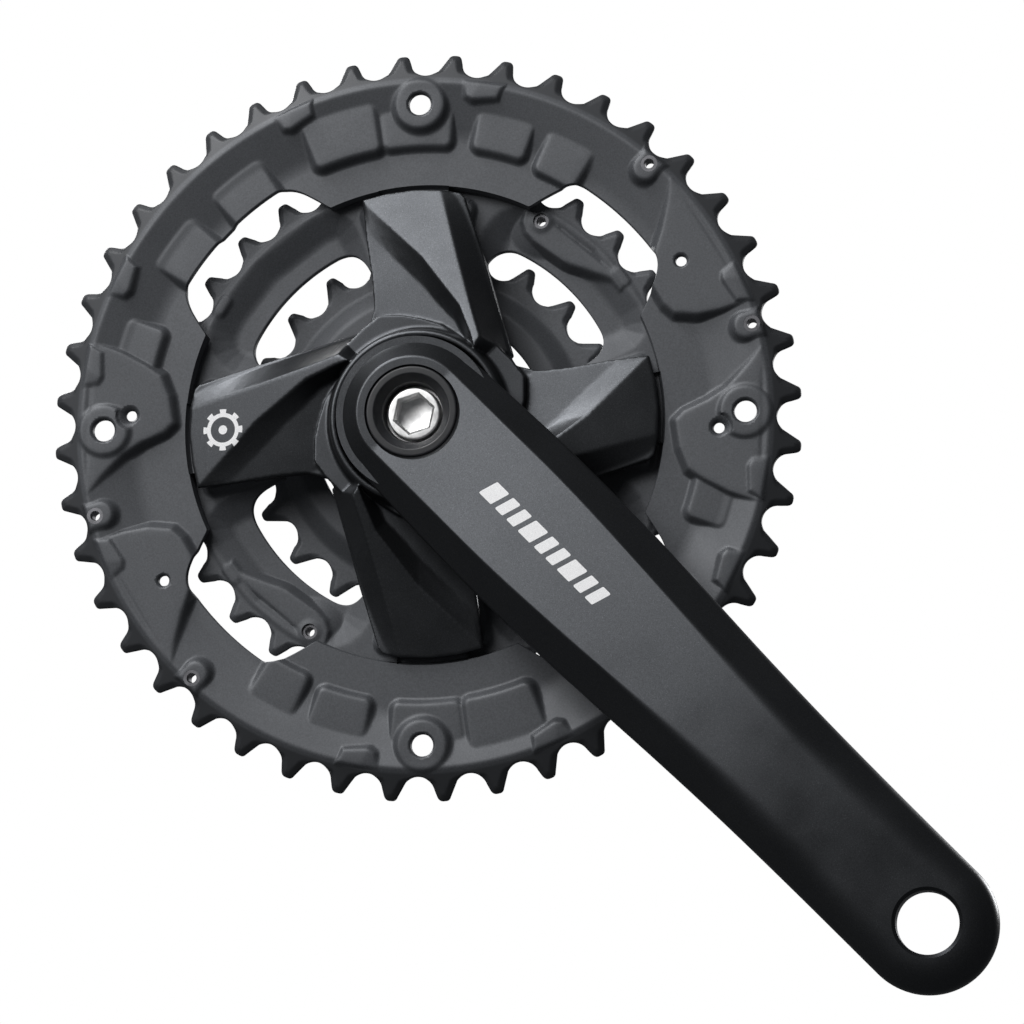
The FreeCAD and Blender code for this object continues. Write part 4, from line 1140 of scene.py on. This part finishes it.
def paint(name, colour, rough, metal, fleck, grain_mm, relief_mm, band=None):
    """Sprayed paint: fine grain, cloudy sheen, metal flecks and a darker band round the teeth."""
    def build(tree, where):
        surface = add_node(tree, "ShaderNodeBsdfPrincipled", metallic=metal)
        grain = noise(tree, where, grain_mm)
        base = uneven_colour(tree, grain, colour, (0.32, 0.86), (0.68, 1.14))
        spots = noise(tree, where, grain_mm * 0.6, 1.0)
        flecks = ramp(tree, spots, [(0.62, grey(0.0)), (0.74, grey(1.0))])
        base = mixed(tree, flecks, base, tint(colour, 1.0 + fleck))
        if band:
            low_mm, high_mm, shade_there = band
            base = mixed(tree, beyond(tree, where, low_mm, high_mm), base, tint(colour, shade_there))
        tree.links.new(base, surface.inputs["Base Color"])
        uneven_sheen(tree, surface, noise(tree, where, 14.0, 2.0), rough, 0.04, 0.05)
        bumped(tree, surface, grain, relief_mm)
        return surface
    return finish_material(name, build)


def bare_steel(name, colour, rough, ring_mm, relief_mm):
    """Turned steel: faint rings, uneven sheen and small stains."""
    def build(tree, where):
        surface = add_node(tree, "ShaderNodeBsdfPrincipled", metallic=1.0)
        rings = add_node(tree, "ShaderNodeTexWave", wave_type="RINGS", rings_direction="Y",
                         scale=0.31 / (ring_mm * MM), distortion=0.6, detail=2.0)
        tree.links.new(where, rings.inputs["Vector"])
        stain = noise(tree, where, 2.5, 4.0)
        base = uneven_colour(tree, stain, colour, (0.35, 0.82), (0.65, 1.1))
        tree.links.new(base, surface.inputs["Base Color"])
        uneven_sheen(tree, surface, noise(tree, where, 0.6, 3.0), rough, 0.06, 0.08)
        bumped(tree, surface, rings.outputs["Fac"], relief_mm)
        return surface
    return finish_material(name, build)


def plastic(name, colour, rough, grain_mm, relief_mm, uneven=0.2):
    """Moulded plastic, ink or floor paper: one colour with fine grain."""
    def build(tree, where):
        surface = add_node(tree, "ShaderNodeBsdfPrincipled")
        grain = noise(tree, where, grain_mm, 4.0)
        base = uneven_colour(tree, grain, colour, (0.3, 1.0 - uneven), (0.7, 1.0 + uneven))
        tree.links.new(base, surface.inputs["Base Color"])
        uneven_sheen(tree, surface, noise(tree, where, 3.0), rough, 0.05, 0.05)
        bumped(tree, surface, grain, relief_mm)
        return surface
    return finish_material(name, build)


ARM_GREY = (0.060, 0.063, 0.068)
RING_GREY = (0.075, 0.079, 0.087)
TOOTH_BAND = (RIDGE_R + 0.9, RIDGE_R + 1.7, 0.60)
LOOKS = {
    "arm_paint": paint("arm_paint", ARM_GREY, 0.36, 0.88, 0.7, 0.32, 0.004),
    "ring_paint": paint("ring_paint", RING_GREY, 0.56, 0.30, 0.3, 0.40, 0.004),
    "tooth_paint": paint("tooth_paint", RING_GREY, 0.50, 0.30, 0.3, 0.40, 0.004, TOOTH_BAND),
    "dark_steel": bare_steel("dark_steel", (0.16, 0.16, 0.17), 0.42, 0.25, 0.004),
    "bright_steel": bare_steel("bright_steel", (0.90, 0.90, 0.90), 0.40, 0.22, 0.003),
    "black_plastic": plastic("black_plastic", (0.020, 0.021, 0.024), 0.40, 0.25, 0.006),
    "mark_ink": plastic("mark_ink", (0.92, 0.92, 0.93), 0.55, 0.12, 0.002),
}


def dress(piece, look):
    """Gives every face of a piece one material."""
    piece.data.materials.clear()
    piece.data.materials.append(LOOKS[look])


# ==== The object ====

def fit(piece, body, slot_name, stands_for=(), look=None, sharp_deg=38.0):
    """Shades, paints and seats a built piece on its CAD body."""
    shade(piece, sharp_deg)
    dress(piece, look or slot_name)
    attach(piece, body)
    if stands_for:
        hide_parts(*stands_for)
    return piece


arm = crank_arm()
casting = spider_casting()
marks = [arm_mark(arm), spider_mark(casting)]
fit(arm, FRAME_BODY, "arm_paint", ["crank_arm"])
fit(casting, FRAME_BODY, "arm_paint", ["spider"], sharp_deg=60.0)
fit(large_ring(), FRAME_BODY, "ring_paint", ["large_chainring"], "tooth_paint", 50.0)
fit(middle_ring(), FRAME_BODY, "ring_paint", ["middle_chainring"], sharp_deg=50.0)
fit(small_ring(), FRAME_BODY, "ring_paint", ["small_chainring"], sharp_deg=50.0)
fit(retaining_cap(), FRAME_BODY, "black_plastic", ["retaining_cap"])
fit(drop_pin(), FRAME_BODY, "dark_steel", ["chain_drop_pin"])
fit(crank_bolt(), "bolt", "bright_steel", ["crank_bolt"])
for ring, deg, r, tip_y, plate_y in RIVET_SETS:
    heads = rivet_heads(ring + "_rivets_domed", deg, r, tip_y, plate_y + PLATE_T)
    fit(heads, FRAME_BODY, "dark_steel", [ring + "_ring_rivets"])
for mark in marks:
    fit(mark, FRAME_BODY, "arm_paint", look="mark_ink")
for node_name in ("spider_snap_ring", "small_ring_spacers", "large_ring_shift_pins",
                  "middle_ring_shift_pins"):
    dress(frame["nodes"][node_name], "dark_steel")
dress(frame["nodes"]["slip_washer"], "black_plastic")
dress(frame["nodes"]["bolt_washer"], "bright_steel")


# ==== Stage, light and camera ====

FLOOR_GAP = 0.033
CAMERA_AT = (0.146463, -0.874627, -0.148853)
CAMERA_TURN = (math.pi / 2.0 + 0.1425, -0.0086, 0.1401)
CAMERA_LENS = 131.87
SENSOR = 36.0
LIGHT_AWAY = 1.3
LIGHT_SIZE = 0.5
ROOM_LIGHT = 0.07


def floor():
    """A plain pale floor a little below the object."""
    z = (cad_low.z - FLOOR_GAP) / MM
    half = 2000.0
    corners = [(-half, -half, z), (half, -half, z), (half, half, z), (-half, half, z)]
    piece = new_object("floor", corners, [(0, 1, 2, 3)])
    piece.data.materials.append(plastic("floor_pale", (0.90, 0.90, 0.90), 0.8, 2.0, 0.0, 0.01))
    piece.visible_glossy = False
    piece.visible_diffuse = False


def softbox(name, aim_from, power):
    """A round soft light that shines at the middle of the object."""
    lamp = bpy.data.lights.new(name, "AREA")
    lamp.shape = "DISK"
    lamp.size = LIGHT_SIZE
    lamp.energy = power
    made = placed(name, lamp)
    direction = Vector(aim_from).normalized()
    made.location = direction * LIGHT_AWAY
    made.rotation_euler = direction.to_track_quat("Z", "Y").to_euler()
    made.visible_camera = False


def surroundings():
    """White to the camera, a dim room to everything else."""
    world = bpy.data.worlds.new("studio")
    bpy.context.scene.world = world
    world.use_nodes = True
    tree = world.node_tree
    tree.nodes.clear()
    seen = add_node(tree, "ShaderNodeBackground", strength=1.0)
    seen.inputs["Color"].default_value = grey(1.0)
    room = add_node(tree, "ShaderNodeBackground", strength=ROOM_LIGHT)
    room.inputs["Color"].default_value = (0.94, 0.97, 1.0, 1.0)
    path = tree.nodes.new("ShaderNodeLightPath")
    blend = tree.nodes.new("ShaderNodeMixShader")
    tree.links.new(path.outputs["Is Camera Ray"], blend.inputs[0])
    tree.links.new(room.outputs[0], blend.inputs[1])
    tree.links.new(seen.outputs[0], blend.inputs[2])
    out = tree.nodes.new("ShaderNodeOutputWorld")
    tree.links.new(blend.outputs[0], out.inputs["Surface"])


def camera():
    """The camera that looks at the object as it is usually shown."""
    lens = bpy.data.cameras.new("main_camera")
    lens.lens = CAMERA_LENS
    lens.sensor_width = SENSOR
    lens.sensor_fit = "HORIZONTAL"
    lens.clip_start = 0.01
    made = placed("main_camera", lens)
    made.location = CAMERA_AT
    made.rotation_euler = CAMERA_TURN
    bpy.context.scene.camera = made


floor()
surroundings()
softbox("key_left", (-0.50, -0.81, 0.30), 3.7)
softbox("key_high", (-0.20, -0.81, 0.55), 4.0)
softbox("left_high", (-0.50, -0.67, 0.55), 2.9)
softbox("top_left", (-0.50, -0.33, 0.80), 8.0)
softbox("top", (-0.20, -0.57, 0.80), 1.7)
softbox("back_left", (-0.55, 0.80, 0.45), 9.0)
softbox("back_right", (0.60, 0.75, 0.20), 6.0)
camera()
bpy.context.scene.view_settings.view_transform = "Standard"
bpy.context.scene.view_settings.look = "None"
